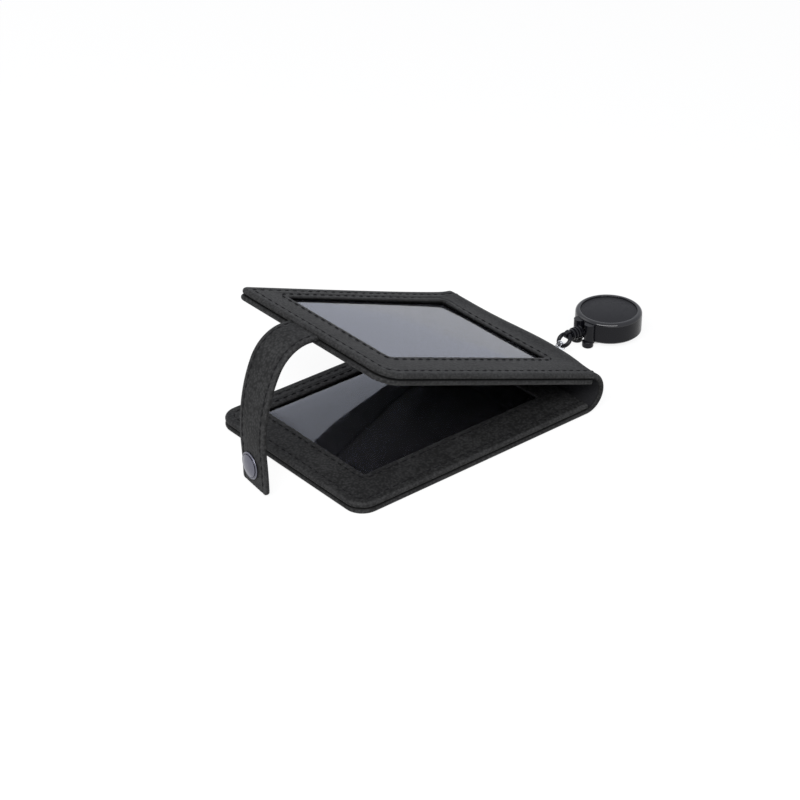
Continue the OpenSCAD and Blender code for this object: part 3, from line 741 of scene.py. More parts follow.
@dataclass(frozen=True)
class Panel:
    """One panel of the wallet, drawn with its outside face up at z = 0 and its spine side at x = 0.

    Attributes:
        width: From the free edge to the spine.
        length: Along the spine.
        layer: Thickness of one leather layer.
        front_r: Radius of the front corner at the free edge.
        rear_r: Radius of the rear corner at the free edge.
        front: Leather between the window and the front edge.
        rear: Leather between the window and the rear edge.
        free: Leather between the window and the free edge.
        spine: Leather between the window and the spine.
        window_r: Radius of the window's corners.
        recess: Depth of the film below the leather.
        film: Thickness of the film.
        lap: Width of film held behind the leather.
        pocket: Margin of the board's pocket beyond the film.
        board: Thickness of the stiffening board.
        edge_row: Distance of the edge's stitching from the edge.
        window_row: Distance of the window's stitching from the window.
        pitch: Length of one stitch with its gap.
        furrow_depth: Depth of the furrow that a row of stitches lies in.
        furrow_half: Distance from the row at which the furrow has 1/e of its depth.
        furrow_painted_shade: How much painted shade the furrow gets, from 0 to 1.
        seam: Angles round the rolled edge, in radians, between which the painted shade at the seam between
            the layers ends.
        wall: Angles round the window's rim between which the painted shade on its wall begins.
        counts: Points inside each side along X and along Y, and points on each corner.
    """

    width: float
    length: float = 101.0
    layer: float = 2.8
    front_r: float = 9.0
    rear_r: float = 9.0
    front: float = 19.5
    rear: float = 11.5
    free: float = 18.5
    spine: float = 13.0
    window_r: float = 1.5
    recess: float = 1.5
    film: float = 0.4
    lap: float = 4.0
    pocket: float = 1.0
    board: float = 1.0
    edge_row: float = 4.1
    window_row: float = 3.0
    pitch: float = 4.65
    furrow_depth: float = 0.14
    furrow_half: float = 0.5
    furrow_painted_shade: float = 0.22
    seam: tuple[float, float] = (-0.8, -0.55)
    wall: tuple[float, float] = (0.2, 0.6)
    counts: tuple[int, int, int] = (150, 112, 12)

    def outer(self) -> Outline:
        """Returns the panel's own outline, cut square at the spine."""
        half = self.length / 2
        return Outline(-self.width, 0, -half, half, (self.front_r, 0, 0, self.rear_r), True)

    def window(self) -> Outline:
        """Returns the window's outline."""
        half = self.length / 2
        radii = (self.window_r,) * 4
        return Outline(self.free - self.width, -self.spine, self.front - half, half - self.rear, radii)

    def _on_spine(self, loop: Array) -> Array:
        """Returns 1 for points on the cut at the spine and 0 for the rest."""
        return (loop[:, 0] > -1e-6).astype(float)

    def _furrow_ring(self, loop: Array, offset: float) -> Ring:
        """Returns a loop that runs at an offset from a row, as deep as the furrow's bell curve is there, with
        painted shade in the same measure.
        """
        share = float(bell(offset, 0.0, self.furrow_half))
        return Ring(loop, -self.furrow_depth * share * (1 - self._on_spine(loop)), share * self.furrow_painted_shade)

    @staticmethod
    def _fading(a: float, angles: tuple[float, float]) -> float:
        """Returns 1 below the first angle, 0 above the second, and a straight line between them."""
        return float(np.clip((angles[1] - a) / (angles[1] - angles[0]), 0, 1))

    def _outer_rings(self) -> list[Ring]:
        """Walks from the inside face round the rolled edge, a half circle, and over the edge's stitching."""
        out, r = self.outer(), self.layer / 2
        rings = []
        for a in np.radians(np.linspace(-90, 90, 15)):
            # Painted shade: the lower part of the rolled edge, at the seam between the layers, is darkened
            # through the furrow mask.
            loop, seam = out.loop(r - r * math.cos(a), *self.counts), self._fading(a, self.seam)
            rings.append(Ring(loop, -r + r * math.sin(a), seam, max(0.0, math.sin(2 * a))))
        loops = (out.loop(self.edge_row + offset, *self.counts) for offset in ROW_STEPS)
        return rings + [self._furrow_ring(loop, offset) for loop, offset in zip(loops, ROW_STEPS)]

    def _between(self, first: Array, last: Array, puff: float) -> list[Ring]:
        """Fills the face between two loops; it rises by puff in the middle, as a parabola."""
        shares = np.linspace(0, 1, 8)[1:-1]
        spine = 1 - self._on_spine(first)
        return [Ring(first * (1 - k) + last * k, puff * 4 * k * (1 - k) * spine) for k in shares]

    def _window_rings(self, window: Outline) -> list[Ring]:
        """Walks over the window's stitching, round its rim and along the pocket behind it."""
        r, back = self.recess / 2, -self.lap - self.pocket
        loops = (window.loop(-self.window_row - offset, *self.counts) for offset in WINDOW_STEPS)
        rings = [self._furrow_ring(loop, offset) for loop, offset in zip(loops, WINDOW_STEPS)]
        for a in np.radians(np.linspace(90, -90, 11)):
            loop = window.loop(-r * (1 - math.cos(a)), *self.counts)
            # Painted shade: the window's wall, below the rim, is darkened through the furrow mask.
            wall = self._fading(a, self.wall)
            rings.append(Ring(loop, -r + r * math.sin(a), wall, max(0.0, math.sin(2 * a)) * (1 - wall)))
        return rings + [Ring(window.loop(back, *self.counts), z) for z in (-self.recess, -self.layer)]

    def _surface(self, rings: Sequence[Ring]) -> Surface:
        """Joins rings into a closed surface, with the faces between the last and the first too."""
        count = len(rings[0].points)
        grid = np.zeros((len(rings), count, 3))
        grid[..., :2] = [ring.points for ring in rings]
        grid[..., 2] = [np.broadcast_to(ring.z, count) for ring in rings]
        furrow = np.repeat([ring.furrow for ring in rings], count)
        edge = np.repeat([ring.edge for ring in rings], count)
        return Surface(grid.reshape(-1, 3), grid_quads(len(rings), count, True, True), furrow, edge)

    def frame(self, puff: float = 0.12) -> Surface:
        """Returns the leather layer with its window."""
        outer, window = self._outer_rings(), self._window_rings(self.window())
        return self._surface(outer + self._between(outer[-1].points, window[0].points, puff) + window)

    def plate(self, stud_x: float, dimple_r: float, dimple: float, hole_r: float) -> Surface:
        """Returns the plain leather layer, with a round dimple for the snap's stud.

        Args:
            stud_x: The stud's place from the spine.
            dimple_r: The dimple's radius.
            dimple: Its depth.
            hole_r: Radius of the hole through its floor.

        Returns:
            The surface.
        """
        lip, worn = 0.5, 0.5
        round_hole = Outline(stud_x - dimple_r, stud_x + dimple_r, -dimple_r, dimple_r, (dimple_r,) * 4)
        outer = self._outer_rings()
        rim = [
            Ring(round_hole.loop(lip * (math.cos(a) - 1), *self.counts), lip * (math.sin(a) - 1), edge=worn)
            for a in np.radians(np.linspace(90, 0, 6))
        ]
        wall, hole = (round_hole.loop(inset, *self.counts) for inset in (0, dimple_r - hole_r))
        pocket = self.window().loop(-self.lap - self.pocket, *self.counts)
        board = self.board / 2 - self.layer
        steps = ((wall, -dimple), (hole, -dimple), (hole, board), (pocket, board), (pocket, -self.layer))
        inside = [Ring(loop, z) for loop, z in steps]
        return self._surface(outer + self._between(outer[-1].points, rim[0].points, 0.0) + rim + inside)

    def _sheet(self, grow: float, top: float, thick: float, bow: Array) -> Surface:
        """Returns a thin closed sheet behind the window.

        Args:
            grow: How far it reaches beyond the window.
            top: Height of its upper face.
            thick: Its thickness.
            bow: What is added to its height, on a grid over the sheet.

        Returns:
            The surface.
        """
        w, (rows, cols) = self.window(), bow.shape
        u, v = np.meshgrid(np.linspace(-1, 1, rows), np.linspace(-1, 1, cols), indexing="ij")
        x = (w.x0 + w.x1) / 2 + u * ((w.x1 - w.x0) / 2 + grow)
        y = (w.y0 + w.y1) / 2 + v * ((w.y1 - w.y0) / 2 + grow)
        upper = np.stack([x, y, top + bow], -1)
        under = upper - [0, 0, thick]
        rim = np.stack([
            np.concatenate([g[:-1, 0], g[-1, :-1], g[:0:-1, -1], g[0, :0:-1]]) for g in (upper, under)
        ])
        faces = grid_quads(rows, cols, False, False)
        return Surface.joined([
            Surface(upper.reshape(-1, 3), faces),
            Surface(under.reshape(-1, 3), faces[:, ::-1]),
            Surface(rim.reshape(-1, 3), grid_quads(2, rim.shape[1], False, True)),
        ])

    def film_sheet(self, bow: float, bulge: float) -> Surface:
        """Returns the clear film, which bows a little and bulges near one of its long sides.

        Its height is a parabola both ways, bow mm high, plus a bell curve across the film that is bulge
        mm high, a little less towards the spine, and fades near the edges.

        Args:
            bow: Height of the bow.
            bulge: Height of the bulge.

        Returns:
            The surface.
        """
        crest, half, drop, play = 0.62, 0.5, 0.25, 0.02
        u, v = np.meshgrid(np.linspace(-1, 1, 81), np.linspace(-1, 1, 61), indexing="ij")
        fade = ease(1 - np.abs(u), 0.0, 0.14) * ease(1 - np.abs(v), 0.0, 0.2)
        height = bow * (1 - u**2) * (1 - v**2) + bulge * bell(v, crest, half) * (1 - drop * u) * fade
        return self._sheet(self.lap, -self.recess - play, self.film - 2 * play, height)

    def backing(self, cover: float = 0.45) -> Surface:
        """Returns the face of the stiffening board, a flat sheet that hides the rivet under it."""
        return self._sheet(self.lap + self.pocket, self.board / 2 - self.layer, cover, np.zeros((3, 3)))

    def stitch_line(self, row: Row) -> Array:
        """Returns the line that a row of stitches follows, evenly spaced, of shape (n, 2)."""
        if row is Row.WINDOW:
            loop = self.window().loop(-self.window_row, *self.counts)
            return np.concatenate([loop, loop[:1]])
        loop = self.outer().loop(self.edge_row, *self.counts)
        long_side, short_side, corner = self.counts
        first = 2 * corner + long_side + short_side
        return np.concatenate([loop[first + corner - 1:], loop[:corner + long_side + 1]])


STITCH_SHARE = 0.62


def stitches(line: Array, out: Array, pitch: float, thread_r: float) -> Surface:
    """Lays stitches along a line on a surface.

    Each stitch is a short tube whose radius falls to nothing at its ends and whose centre line arches
    outwards along a half sine, so that its ends dive into the leather.

    Args:
        line: Points of the line, in mm, of shape (n, 3).
        out: The surface's outward direction at each point, of shape (n, 3).
        pitch: Length of a stitch with its gap.
        thread_r: The thread's radius.

    Returns:
        The surface of all the stitches.
    """
    rise, dive = 0.9 * thread_r, 0.35 * thread_r
    run = np.concatenate([[0], np.cumsum(np.linalg.norm(np.diff(line, axis=0), axis=1))])
    count = max(1, int(run[-1] / pitch))
    centres = (np.arange(count) + 0.5) * run[-1] / count
    t = np.linspace(-1, 1, 9)
    places = centres[:, None] + t * STITCH_SHARE * pitch / 2
    path = sampled(places, run, line)
    ahead, up = unit(path[:, -1] - path[:, 0])[:, None, None], unit(sampled(centres, run, out))[:, None, None]
    side = np.cross(ahead, up)
    radius = (thread_r * np.sqrt(np.clip(1 - t**4, 0, 1)))[:, None]
    arch = (rise * np.cos(t * np.pi / 2) - dive)[:, None]
    a = np.linspace(0, 2 * np.pi, 8, endpoint=False)
    across, above = (radius * np.cos(a))[..., None], (radius * np.sin(a) + arch)[..., None]
    grid = path[:, :, None] + across * side + above * up
    rows, cols = grid.shape[1:3]
    starts = (np.arange(count) * rows * cols)[:, None, None]
    return Surface(grid.reshape(-1, 3), (grid_quads(rows, cols, False, True) + starts).reshape(-1, 4))


# Sub-assemblies

@dataclass
class Spine:
    """The half-round spine that joins the two panels.

    Attributes:
        centre_x: X of its axis.
        radius: Its outer radius, which is also the height of its axis.
        open_angle: Angle between the panels, in degrees.
        skin: Thickness of its leather with the padding.
        blend_low: Height up to which it would stay with the back panel; not used.
        blend_high: Height from which it would move with the cover; not used.
        swell: How far its padding swells beyond its radius.
        swell_at: Distance of the swelling's crest from the cover's edge, along the skin.
        swell_half: Distance from the crest at which the swelling has 1/e of its height.
        swell_from: Distances past the cover's edge between which it begins, negative on the spine.
        swell_to: Distances between which it ends.
        grow: Share of the spine's length, from the front, in which the swelling grows.
        hump: Share of the length where it is highest, half width of that hump, and what it adds.
        corner_lift: How far the rear corner at the cover's joint is lifted.
        corner_y: Places along the spine between which the lift grows.
        corner_s: Distances past the cover's edge between which it grows.
        corner_fade: Distance along the cover in which it falls to 1/e.
        inner_painted_shade: How much painted shade the hidden inner face gets, from 0 to 1.
        worn: How worn the ends are, from 0 to 1.
        steps: Sections round the spine.
    """

    centre_x: float = 66.3
    radius: float = 10.3
    open_angle: float = 20.3
    skin: float = 2.7
    blend_low: float = 12.4
    blend_high: float = 17.0
    swell: float = 1.0
    swell_at: float = 3.9
    swell_half: float = 5.5
    swell_from: tuple[float, float] = (-11.0, -7.0)
    swell_to: tuple[float, float] = (4.0, 9.0)
    grow: float = 0.145
    hump: tuple[float, float, float] = (0.38, 0.24, 1.1)
    corner_lift: float = 1.15
    corner_y: tuple[float, float] = (18.0, 49.0)
    corner_s: tuple[float, float] = (-5.0, 1.0)
    corner_fade: float = 24.0
    inner_painted_shade: float = 0.35
    worn: float = 0.7
    steps: int = 72

    def cover_turn(self) -> Array:
        """Returns the matrix that tilts the cover about Y by the open angle."""
        return turn_y(self.open_angle)

    def cover_shift(self) -> Array:
        """Returns the point where the cover's outside leaves the spine."""
        a = math.radians(self.open_angle)
        return np.array([self.centre_x + self.radius * math.sin(a), 0, self.radius * (1 + math.cos(a))])

    def swelling(self, y: Array, s: Array, half: float = 50.5) -> Array:
        """Returns how far the padding swells at y, at a distance s past the spine's joint to the cover.

        Across the skin it is a bell curve round its crest that is gone where the tab and the window's
        stitching start. Along the spine it grows from nothing at the front end, as 1 - e^-(t / grow)^3,
        is about twice as high at its hump, and keeps its height to the rear end. At the rear the
        corner of the cover lifts as well, and falls away exponentially along the cover's rear edge.

        Args:
            y: Places along the spine.
            s: Distances along the skin, negative on the spine and positive on the cover.
            half: Half of the spine's length.

        Returns:
            The heights, in mm.
        """
        t = (y + half) / (2 * half)
        place, width, gain = self.hump
        along = (1 - np.exp(-((np.clip(t, 0, 1) / self.grow) ** 3))) * (1 + gain * bell(t, place, width))
        free = ease(s, *self.swell_from) * (1 - ease(s, *self.swell_to))
        across = bell(s, -self.swell_at, self.swell_half) * free
        fade = np.exp(-np.maximum(s, 0) / self.corner_fade)
        corner = ease(y, *self.corner_y) * fade * ease(s, *self.corner_s)
        return self.swell * along * across + self.corner_lift * corner

    def _angles(self) -> Array:
        """Returns angles from the back panel to the cover, as a column."""
        return np.radians(np.linspace(-90, 90 - self.open_angle, self.steps))[:, None]

    def _on_skin(self, a: Array, y: Array, depth: Array) -> Array:
        """Returns points at angles, at y and at depths below the swollen skin.

        A point goes to the circle of radius R - depth, and the swelling fades towards the inner face.
        """
        past = self.radius * (a - math.radians(90 - self.open_angle))
        swell = self.swelling(y, past) * np.clip(1 - depth / self.skin, 0, 1)
        r = self.radius - depth + swell
        return np.stack([self.centre_x + r * np.cos(a), y + 0 * r, self.radius + r * np.sin(a)], -1)

    def _carried(self, section: Array, furrow: Array, edge: Array) -> Surface:
        """Carries a section of points (y, depth) round the spine, with its furrow mask of painted shade and
        its edge mask.
        """
        a = self._angles()
        y, depth = section[None, :, 0], section[None, :, 1]
        place = np.stack(np.broadcast_arrays(self.radius * a, y, depth), -1)
        return carried(self._on_skin(a, y, depth), place, furrow, edge)

    def _skin(self, panel: Panel) -> Surface:
        """Returns the leather, with rolled ends and a furrow near each, and a flat inner face; the furrows
        and the inner face get painted shade.
        """
        half, r, smooth = panel.length / 2, panel.layer / 2, 8.0
        roll = np.radians(np.linspace(0, 90, 8))
        end = np.stack([-half + r - r * np.cos(roll), r - r * np.sin(roll)], -1)
        share = bell(ROW_STEPS, 0.0, panel.furrow_half)
        row = np.stack([-half + panel.edge_row + ROW_STEPS, panel.furrow_depth * share], -1)
        middle = np.stack([np.linspace(-half + smooth, half - smooth, 41), np.zeros(41)], -1)
        face = np.concatenate([end, row, middle, row[::-1] * [-1, 1], end[::-1] * [-1, 1]])
        back = face[-2:0:-1].copy()
        back[:, 1] = np.minimum(2 * r - np.minimum(back[:, 1], r), self.skin)
        # Painted shade in the furrows of the stitching and on the hidden inner face, through the furrow mask.
        dark, plain = share * panel.furrow_painted_shade, np.zeros(len(end))
        inner = np.full(len(back), self.inner_painted_shade)
        furrow = np.concatenate([plain, dark, np.zeros(len(middle)), dark[::-1], plain, inner])
        edge = np.zeros(len(furrow))
        edge[2:7] = edge[len(face) - 7:len(face) - 2] = self.worn
        return self._carried(np.concatenate([face, back]), furrow, edge)

    def _lining(self, panel: Panel) -> Surface:
        """Returns the lining, a thin sheet on the inner face."""
        half, sunk, proud = (panel.length - panel.layer) / 2, 0.05, 0.1
        y = np.linspace(-half, half, 60)
        top = np.stack([y, 0 * y + self.skin - sunk], -1)
        under = np.stack([y[::-1], 0 * y + self.skin + proud], -1)
        blank = np.zeros(2 * len(y))
        return self._carried(np.concatenate([top, under]), blank, blank)

    def _stitching(self, panel: Panel) -> Surface:
        """Returns the two rows of stitches that go on round the spine from the panels' edge rows."""
        clear_of_table = 6
        a, offset = self._angles()[clear_of_table:], panel.length / 2 - panel.edge_row
        out = np.stack([np.cos(a), 0 * a, np.sin(a)], -1)[:, 0]
        depth = panel.furrow_depth + 0 * a
        rows = [self._on_skin(a, np.array([[y]]), depth)[:, 0] for y in (-offset, offset)]
        return Surface.joined([stitches(row, out, panel.pitch, Row.EDGE.value) for row in rows])

    def build(self, panel: Panel, finish: Finishes) -> None:
        """Makes the leather, its lining and the stitching, and bakes their transforms into their meshes."""
        for piece in (
            make_piece("spine_skin", self._skin(panel), finish.leather, ["spine_leather"]),
            make_piece("spine_inner_lining", self._lining(panel), finish.lining, ["spine_lining"]),
            make_piece("spine_stitching", self._stitching(panel), finish.thread),
        ):
            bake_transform(piece)


def sew(
    panel: Panel,
    body: str,
    rows: Sequence[tuple[Row, Placing]],
    finish: Finishes,
    lift: Callable[[Array], Array] = lambda points: np.zeros(len(points)),
) -> None:
    """Sews rows of stitches on a panel's faces, as one piece.

    Args:
        panel: The panel.
        body: The body that it belongs to, which also names the piece.
        rows: The row, and the turn and shift of its face, for each row.
        finish: The finishes.
        lift: How far the face of the first row is lifted at given points.
    """
    parts = []
    for number, (row, placing) in enumerate(rows):
        line = panel.stitch_line(row)
        flat = np.column_stack([line, np.full(len(line), -panel.furrow_depth)])
        if number == 0:
            flat[:, 2] += lift(flat)
        out = np.tile([0.0, 0.0, 1.0], (len(line), 1))
        parts.append(stitches(flat, out, panel.pitch, row.value).moved(*placing))
    make_piece(f"{body}_stitching", Surface.joined(parts), finish.thread, (), body)


@dataclass
class BackPanel:
    """The back panel, which lies on the table.

    Attributes:
        panel: Its leather, film and stitching.
        spine_x: X of its edge at the spine.
        stud_from_edge: Distance of the snap's stud from that edge.
        dimple_r: Radius of the dimple that the stud sits in.
        dimple: Depth of the dimple.
        hole_r: Radius of the hole through its floor.
        bulge: Height of the film's bulge.
        pressed: How deep the table presses the stitches of the underside into the leather.
    """

    panel: Panel = Panel(132.6)
    spine_x: float = 66.3
    stud_from_edge: float = 48.0
    dimple_r: float = 6.25
    dimple: float = 1.9
    hole_r: float = 1.5
    bulge: float = 0.85
    pressed: float = 0.5

    def outside(self, raised: float = 0.0) -> Placing:
        """Returns the turn and shift of its outside layer, whose face looks down, raised by a height."""
        return np.diag([1.0, 1.0, -1.0]), np.array([self.spine_x, 0, raised])

    def inside(self) -> Placing:
        """Returns the turn and shift of its inside layer, whose face looks up."""
        return np.eye(3), np.array([self.spine_x, 0, 2 * self.panel.layer])

    def build(self, finish: Finishes) -> None:
        """Makes the two leather layers, the film, the board's face and the stitching."""
        panel, inside = self.panel, self.inside()
        plate = panel.plate(self.stud_from_edge - panel.width, self.dimple_r, self.dimple, self.hole_r)
        for name, surface, kind, node in (
            ("back_skin", plate.moved(*self.outside()), finish.leather, "back_leather"),
            ("back_frame_leather", panel.frame().moved(*inside), finish.leather, "back_window_frame"),
            ("back_film", panel.film_sheet(0.0, self.bulge).moved(*inside), finish.film, "back_window_film"),
            ("back_backing", panel.backing().moved(*inside), finish.backing, "back_board"),
        ):
            make_piece(name, surface, kind, [node], "back")
        rows = [(Row.EDGE, self.outside(self.pressed)), (Row.EDGE, inside), (Row.WINDOW, inside)]
        sew(panel, "back", rows, finish)


@dataclass
class Cover:
    """The front cover, which is raised.

    Attributes:
        spine: The spine, which sets how the cover lies.
        panel: Its leather, films and stitching.
        bow: Height to which its films bow.
        bulge: Height of their bulge.
    """

    spine: Spine
    panel: Panel = Panel(128.8, rear_r=4.0)
    bow: float = 0.3
    bulge: float = 0.1

    def outside(self) -> Placing:
        """Returns the turn and shift of its outside layer, whose face looks up."""
        return self.spine.cover_turn(), self.spine.cover_shift()

    def inside(self) -> Placing:
        """Returns the turn and shift of its inside layer, whose face looks down."""
        turn = self.spine.cover_turn()
        down = turn @ np.array([0, 0, -2 * self.panel.layer])
        return turn @ np.diag([1.0, 1.0, -1.0]), self.spine.cover_shift() + down

    def _lift(self, points: Array) -> Array:
        """Returns how far the spine's swelling lifts the outside layer, less towards its inner face."""
        upper = np.clip(1 + points[:, 2] / (self.panel.layer / 2), 0, 1)
        return self.spine.swelling(points[:, 1], -points[:, 0]) * upper

    def build(self, finish: Finishes) -> None:
        """Makes the two leather frames, the two films and the stitching."""
        outside, inside = self.outside(), self.inside()
        for name, placing in (("outer", outside), ("inner", inside)):
            leather = self.panel.frame()
            if name == "outer":
                leather.points[:, 2] += self._lift(leather.points)
            node = f"cover_{name}_frame"
            make_piece(f"{node}_leather", leather.moved(*placing), finish.leather, [node], "cover")
            film = self.panel.film_sheet(self.bow, self.bulge).moved(*placing)
            make_piece(f"cover_{name}_window", film, finish.cover_film, [f"cover_{name}_film"], "cover")
        rows = [(row, placing) for placing in (outside, inside) for row in (Row.EDGE, Row.WINDOW)]
        sew(self.panel, "cover", rows, finish, self._lift)


STRAP_STEPS = np.array([-0.8, -0.5, -0.3, -0.15, 0.0, 0.15, 0.3, 0.5, 0.8])


@dataclass
class Strap:
    """The closure strap, from its sewn root to its square-cut end.

    Attributes:
        spine: The spine, which sets how the cover lies.
        cover: The cover's panel.
        width: Its width.
        thick: Its thickness.
        edge_r: Radius of its edges.
        sewn: Length sewn between the cover's layers.
        rise: Angle above level at which it leaves the cover, in degrees.
        lead: Straight length beyond the cover's edge.
        bend1_r: Radius of the upper bend.
        turn1: Turn of the upper bend, in degrees.
        bend2_r: Radius of the long lower bend.
        root_y: Y of its middle where it leaves the cover.
        tail_y: Y of its middle at its end.
        yaw: Turn of its end about Z, in degrees.
        lean: Sideways lean of its end, in degrees.
        gap: Height of its lowest corner above the table.
        flex: Distances from the cover's edge that mark the stretch where it leaves the cover.
        knee: Heights above its end between which it would flex; not used.
        end_r: Corner radius of its end.
        end_round: Length over which its end thins.
        blunt: Share of the thickness that is left at its end.
        row: Distance of its stitching from its edges.
        pitch: Length of one stitch with its gap.
        thread_r: Radius of the thread.
        furrow_depth: Depth of the furrow that a row of stitches lies in.
        furrow_half: Distance from the row at which the furrow has 1/e of its depth.
        furrow_painted_shade: How much painted shade the furrow gets, from 0 to 1.
        worn: How worn the edge is on its side and on its top, from 0 to 1.
        step: Distance between its sections.
        cap_from_end: Distance of the snap from its end.
        cut_at: Where it is made in two lengths, as a share of the lower bend.
        rows_from: Where its stitching starts.
        rows_left: Length at its end without stitching.
    """

    spine: Spine
    cover: Panel
    width: float = 20.0
    thick: float = 2.2
    edge_r: float = 0.9
    sewn: float = 12.0
    rise: float = 4.0
    lead: float = 3.4
    bend1_r: float = 20.4
    turn1: float = 59.2
    bend2_r: float = 62.3
    root_y: float = 4.4
    tail_y: float = -3.3
    yaw: float = 7.1
    lean: float = 4.5
    gap: float = 0.3
    flex: tuple[float, float] = (0.5, 9.0)
    knee: tuple[float, float] = (25.0, 21.0)
    end_r: float = 2.0
    end_round: float = 0.7
    blunt: float = 0.15
    row: float = 2.6
    pitch: float = 4.0
    thread_r: float = 0.34
    furrow_depth: float = 0.2
    furrow_half: float = 0.35
    furrow_painted_shade: float = 0.5
    worn: tuple[float, float] = (0.2, 1.0)
    step: float = 0.7
    cap_from_end: float = 10.0
    cut_at: float = 0.45
    rows_from: float = 1.0
    rows_left: float = 2.5

    def __post_init__(self) -> None:
        """Follows the strap's heading in small steps to find its route.

        The heading is the cover's inside the cover, then the rise, then turns evenly through the upper
        bend and more slowly through the lower one until it points straight down.
        """
        step, spare, down, leave = 0.1, 80.0, 1.5 * math.pi, (-1.5, 0.5)
        cover, rise = math.radians(180 - self.spine.open_angle), math.radians(180 - self.rise)
        after = rise + math.radians(self.turn1)
        bend1_end = self.lead + self.bend1_r * math.radians(self.turn1)
        self.tail_start = bend1_end + self.bend2_r * (down - after)
        s = np.arange(-self.sewn - 1, self.tail_start + spare, step)
        knots = [*leave, self.lead, bend1_end, self.tail_start]
        heading = np.interp(s + step / 2, knots, [cover, rise, rise, after, down])
        xz = np.cumsum(np.stack([np.cos(heading), np.sin(heading)], -1) * step, axis=0)
        ahead = np.array([math.cos(cover), math.sin(cover)])
        inwards = np.array([-ahead[1], ahead[0]])
        edge = self.spine.cover_shift()[[0, 2]] + self.cover.width * ahead + self.cover.layer * inwards
        xz += edge - xz[np.argmin(np.abs(s + step))]
        end_z = self.gap + self.width / 2 * math.sin(math.radians(self.lean))
        self.total = float(s[np.argmax(xz[:, 1] < end_z)])
        y = self.root_y + (self.tail_y - self.root_y) * ease(s, 0, self.total)
        self.steps, self.centres = s + step, np.stack([xz[:, 0], y, xz[:, 1]], -1)
        self.cut = self.cut_at * self.tail_start + (1 - self.cut_at) * bend1_end

    def route(self, s: Array) -> tuple[Array, Array, Array]:
        """Follows the route.

        Args:
            s: Distances from the cover's edge, negative inside the cover.

        Returns:
            The points of its middle, the directions across it, and the outward directions, each of
            shape (n, 3).
        """
        share = ease(s, 0, self.tail_start)
        yaw, lean = math.sin(math.radians(self.yaw)), math.sin(math.radians(self.lean))
        ahead = unit(sampled(s, self.steps, np.gradient(self.centres, axis=0)))
        across = np.stack([yaw * share, np.ones_like(s), -lean * share], -1)
        across = unit(across - (across * ahead).sum(-1, keepdims=True) * ahead)
        return sampled(s, self.steps, self.centres), across, np.cross(across, ahead)

    def _section(self) -> tuple[Array, Array, Array]:
        """Returns the strap's cut as points (across, out), its furrow mask of painted shade and its edge
        mask.
        """
        r, h, half, smooth = self.edge_r, self.thick / 2, self.width / 2, 4.5
        corner = np.radians(np.linspace(0, 90, 6))
        low = np.stack([-half + r - r * np.cos(corner), h - r + r * np.sin(corner)], -1)
        share = bell(STRAP_STEPS, 0.0, self.furrow_half)
        row = np.stack([-half + self.row + STRAP_STEPS, h - self.furrow_depth * share], -1)
        middle = np.stack([np.linspace(-half + smooth, half - smooth, 13), np.full(13, h)], -1)
        face = np.concatenate([low, row, middle, row[::-1] * [-1, 1], low[::-1] * [-1, 1]])
        # Painted shade in the furrows of the two rows of stitches, through the furrow mask.
        dark, plain, flat = self.furrow_painted_shade * share, np.zeros(len(low)), np.zeros(len(middle))
        furrow = np.concatenate([plain, dark, flat, dark[::-1], plain])
        worn = np.linspace(*self.worn, len(low))
        edge = np.concatenate([worn, np.zeros(len(face) - 2 * len(low)), worn[::-1]])
        section = np.concatenate([face, face[::-1] * [1, -1]])
        return section, np.concatenate([furrow, furrow[::-1]]), np.concatenate([edge, edge * 0])

    def stretch(self, start: float, stop: float) -> Surface:
        """Returns the strap between two distances along its route.

        The section is carried along the route. Near the free end its half width shrinks along a
        quarter circle, and its thickness along a smaller one, so the corners and the edge are round.

        Args:
            start: Where it starts.
            stop: Where it stops.

        Returns:
            The surface, closed at both ends.
        """
        tail, nearest = np.array([stop]), 0.2
        if stop >= self.total:
            tail = stop - self.end_round * (1 - np.sin(np.linspace(0, np.pi / 2, 8)))
        s = np.arange(start, stop, self.step)
        s = np.concatenate([s[s < tail[0] - nearest], tail])
        left = self.total - s
        cut = self.end_r * (1 - rounded(left, self.end_r))
        thin = self.blunt + (1 - self.blunt) * rounded(left, self.end_round)
        section, furrow, edge = self._section()
        centre, across, out = self.route(s)
        y = section[None, :, 0] * (1 - cut / (self.width / 2))[:, None]
        h = section[None, :, 1] * thin[:, None]
        grid = centre[:, None] + across[:, None] * y[..., None] + out[:, None] * h[..., None]
        return carried(grid, np.stack(np.broadcast_arrays(s[:, None], y, h), -1), furrow, edge)

    def _rows(self, start: float, stop: float) -> Surface:
        """Returns the two rows of stitches between two distances, on the outer face."""
        spacing = 0.5
        centre, across, out = self.route(np.arange(start, stop, spacing))
        offset, height = self.width / 2 - self.row, self.thick / 2 - self.furrow_depth
        lines = [centre + side * offset * across + height * out for side in (-1, 1)]
        return Surface.joined([stitches(line, out, self.pitch, self.thread_r) for line in lines])

    def build(self, finish: Finishes) -> None:
        """Makes the strap as two lengths, and its stitching."""
        upper = ["strap_root", "strap_fold", "strap_bend", "strap_upper"]
        lower = ["strap_knee", "strap_end"]
        first, last = self.rows_from, self.total - self.rows_left
        for name, start, stop, nodes, bend in (
            ("strap_top", -self.sewn, self.cut, upper, self._bend_top),
            ("strap_tail", self.cut, self.total, lower, self._bend_tail),
        ):
            bend(make_piece(name, self.stretch(start, stop), finish.leather, nodes))
            rows = self._rows(max(first, start), min(last, stop))
            bend(make_piece(f"{name}_stitching", rows, finish.thread))

    def _bend_top(self, piece: bpy.types.Object) -> None:
        """Bakes the upper length's transform into its mesh."""
        start, end = (tuple(point.tolist()) for point in self.route(np.array(self.flex))[0] * MM)
        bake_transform(piece)

    def _bend_tail(self, piece: bpy.types.Object) -> None:
        """Bakes the lower length's transform into its mesh."""
        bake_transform(piece)


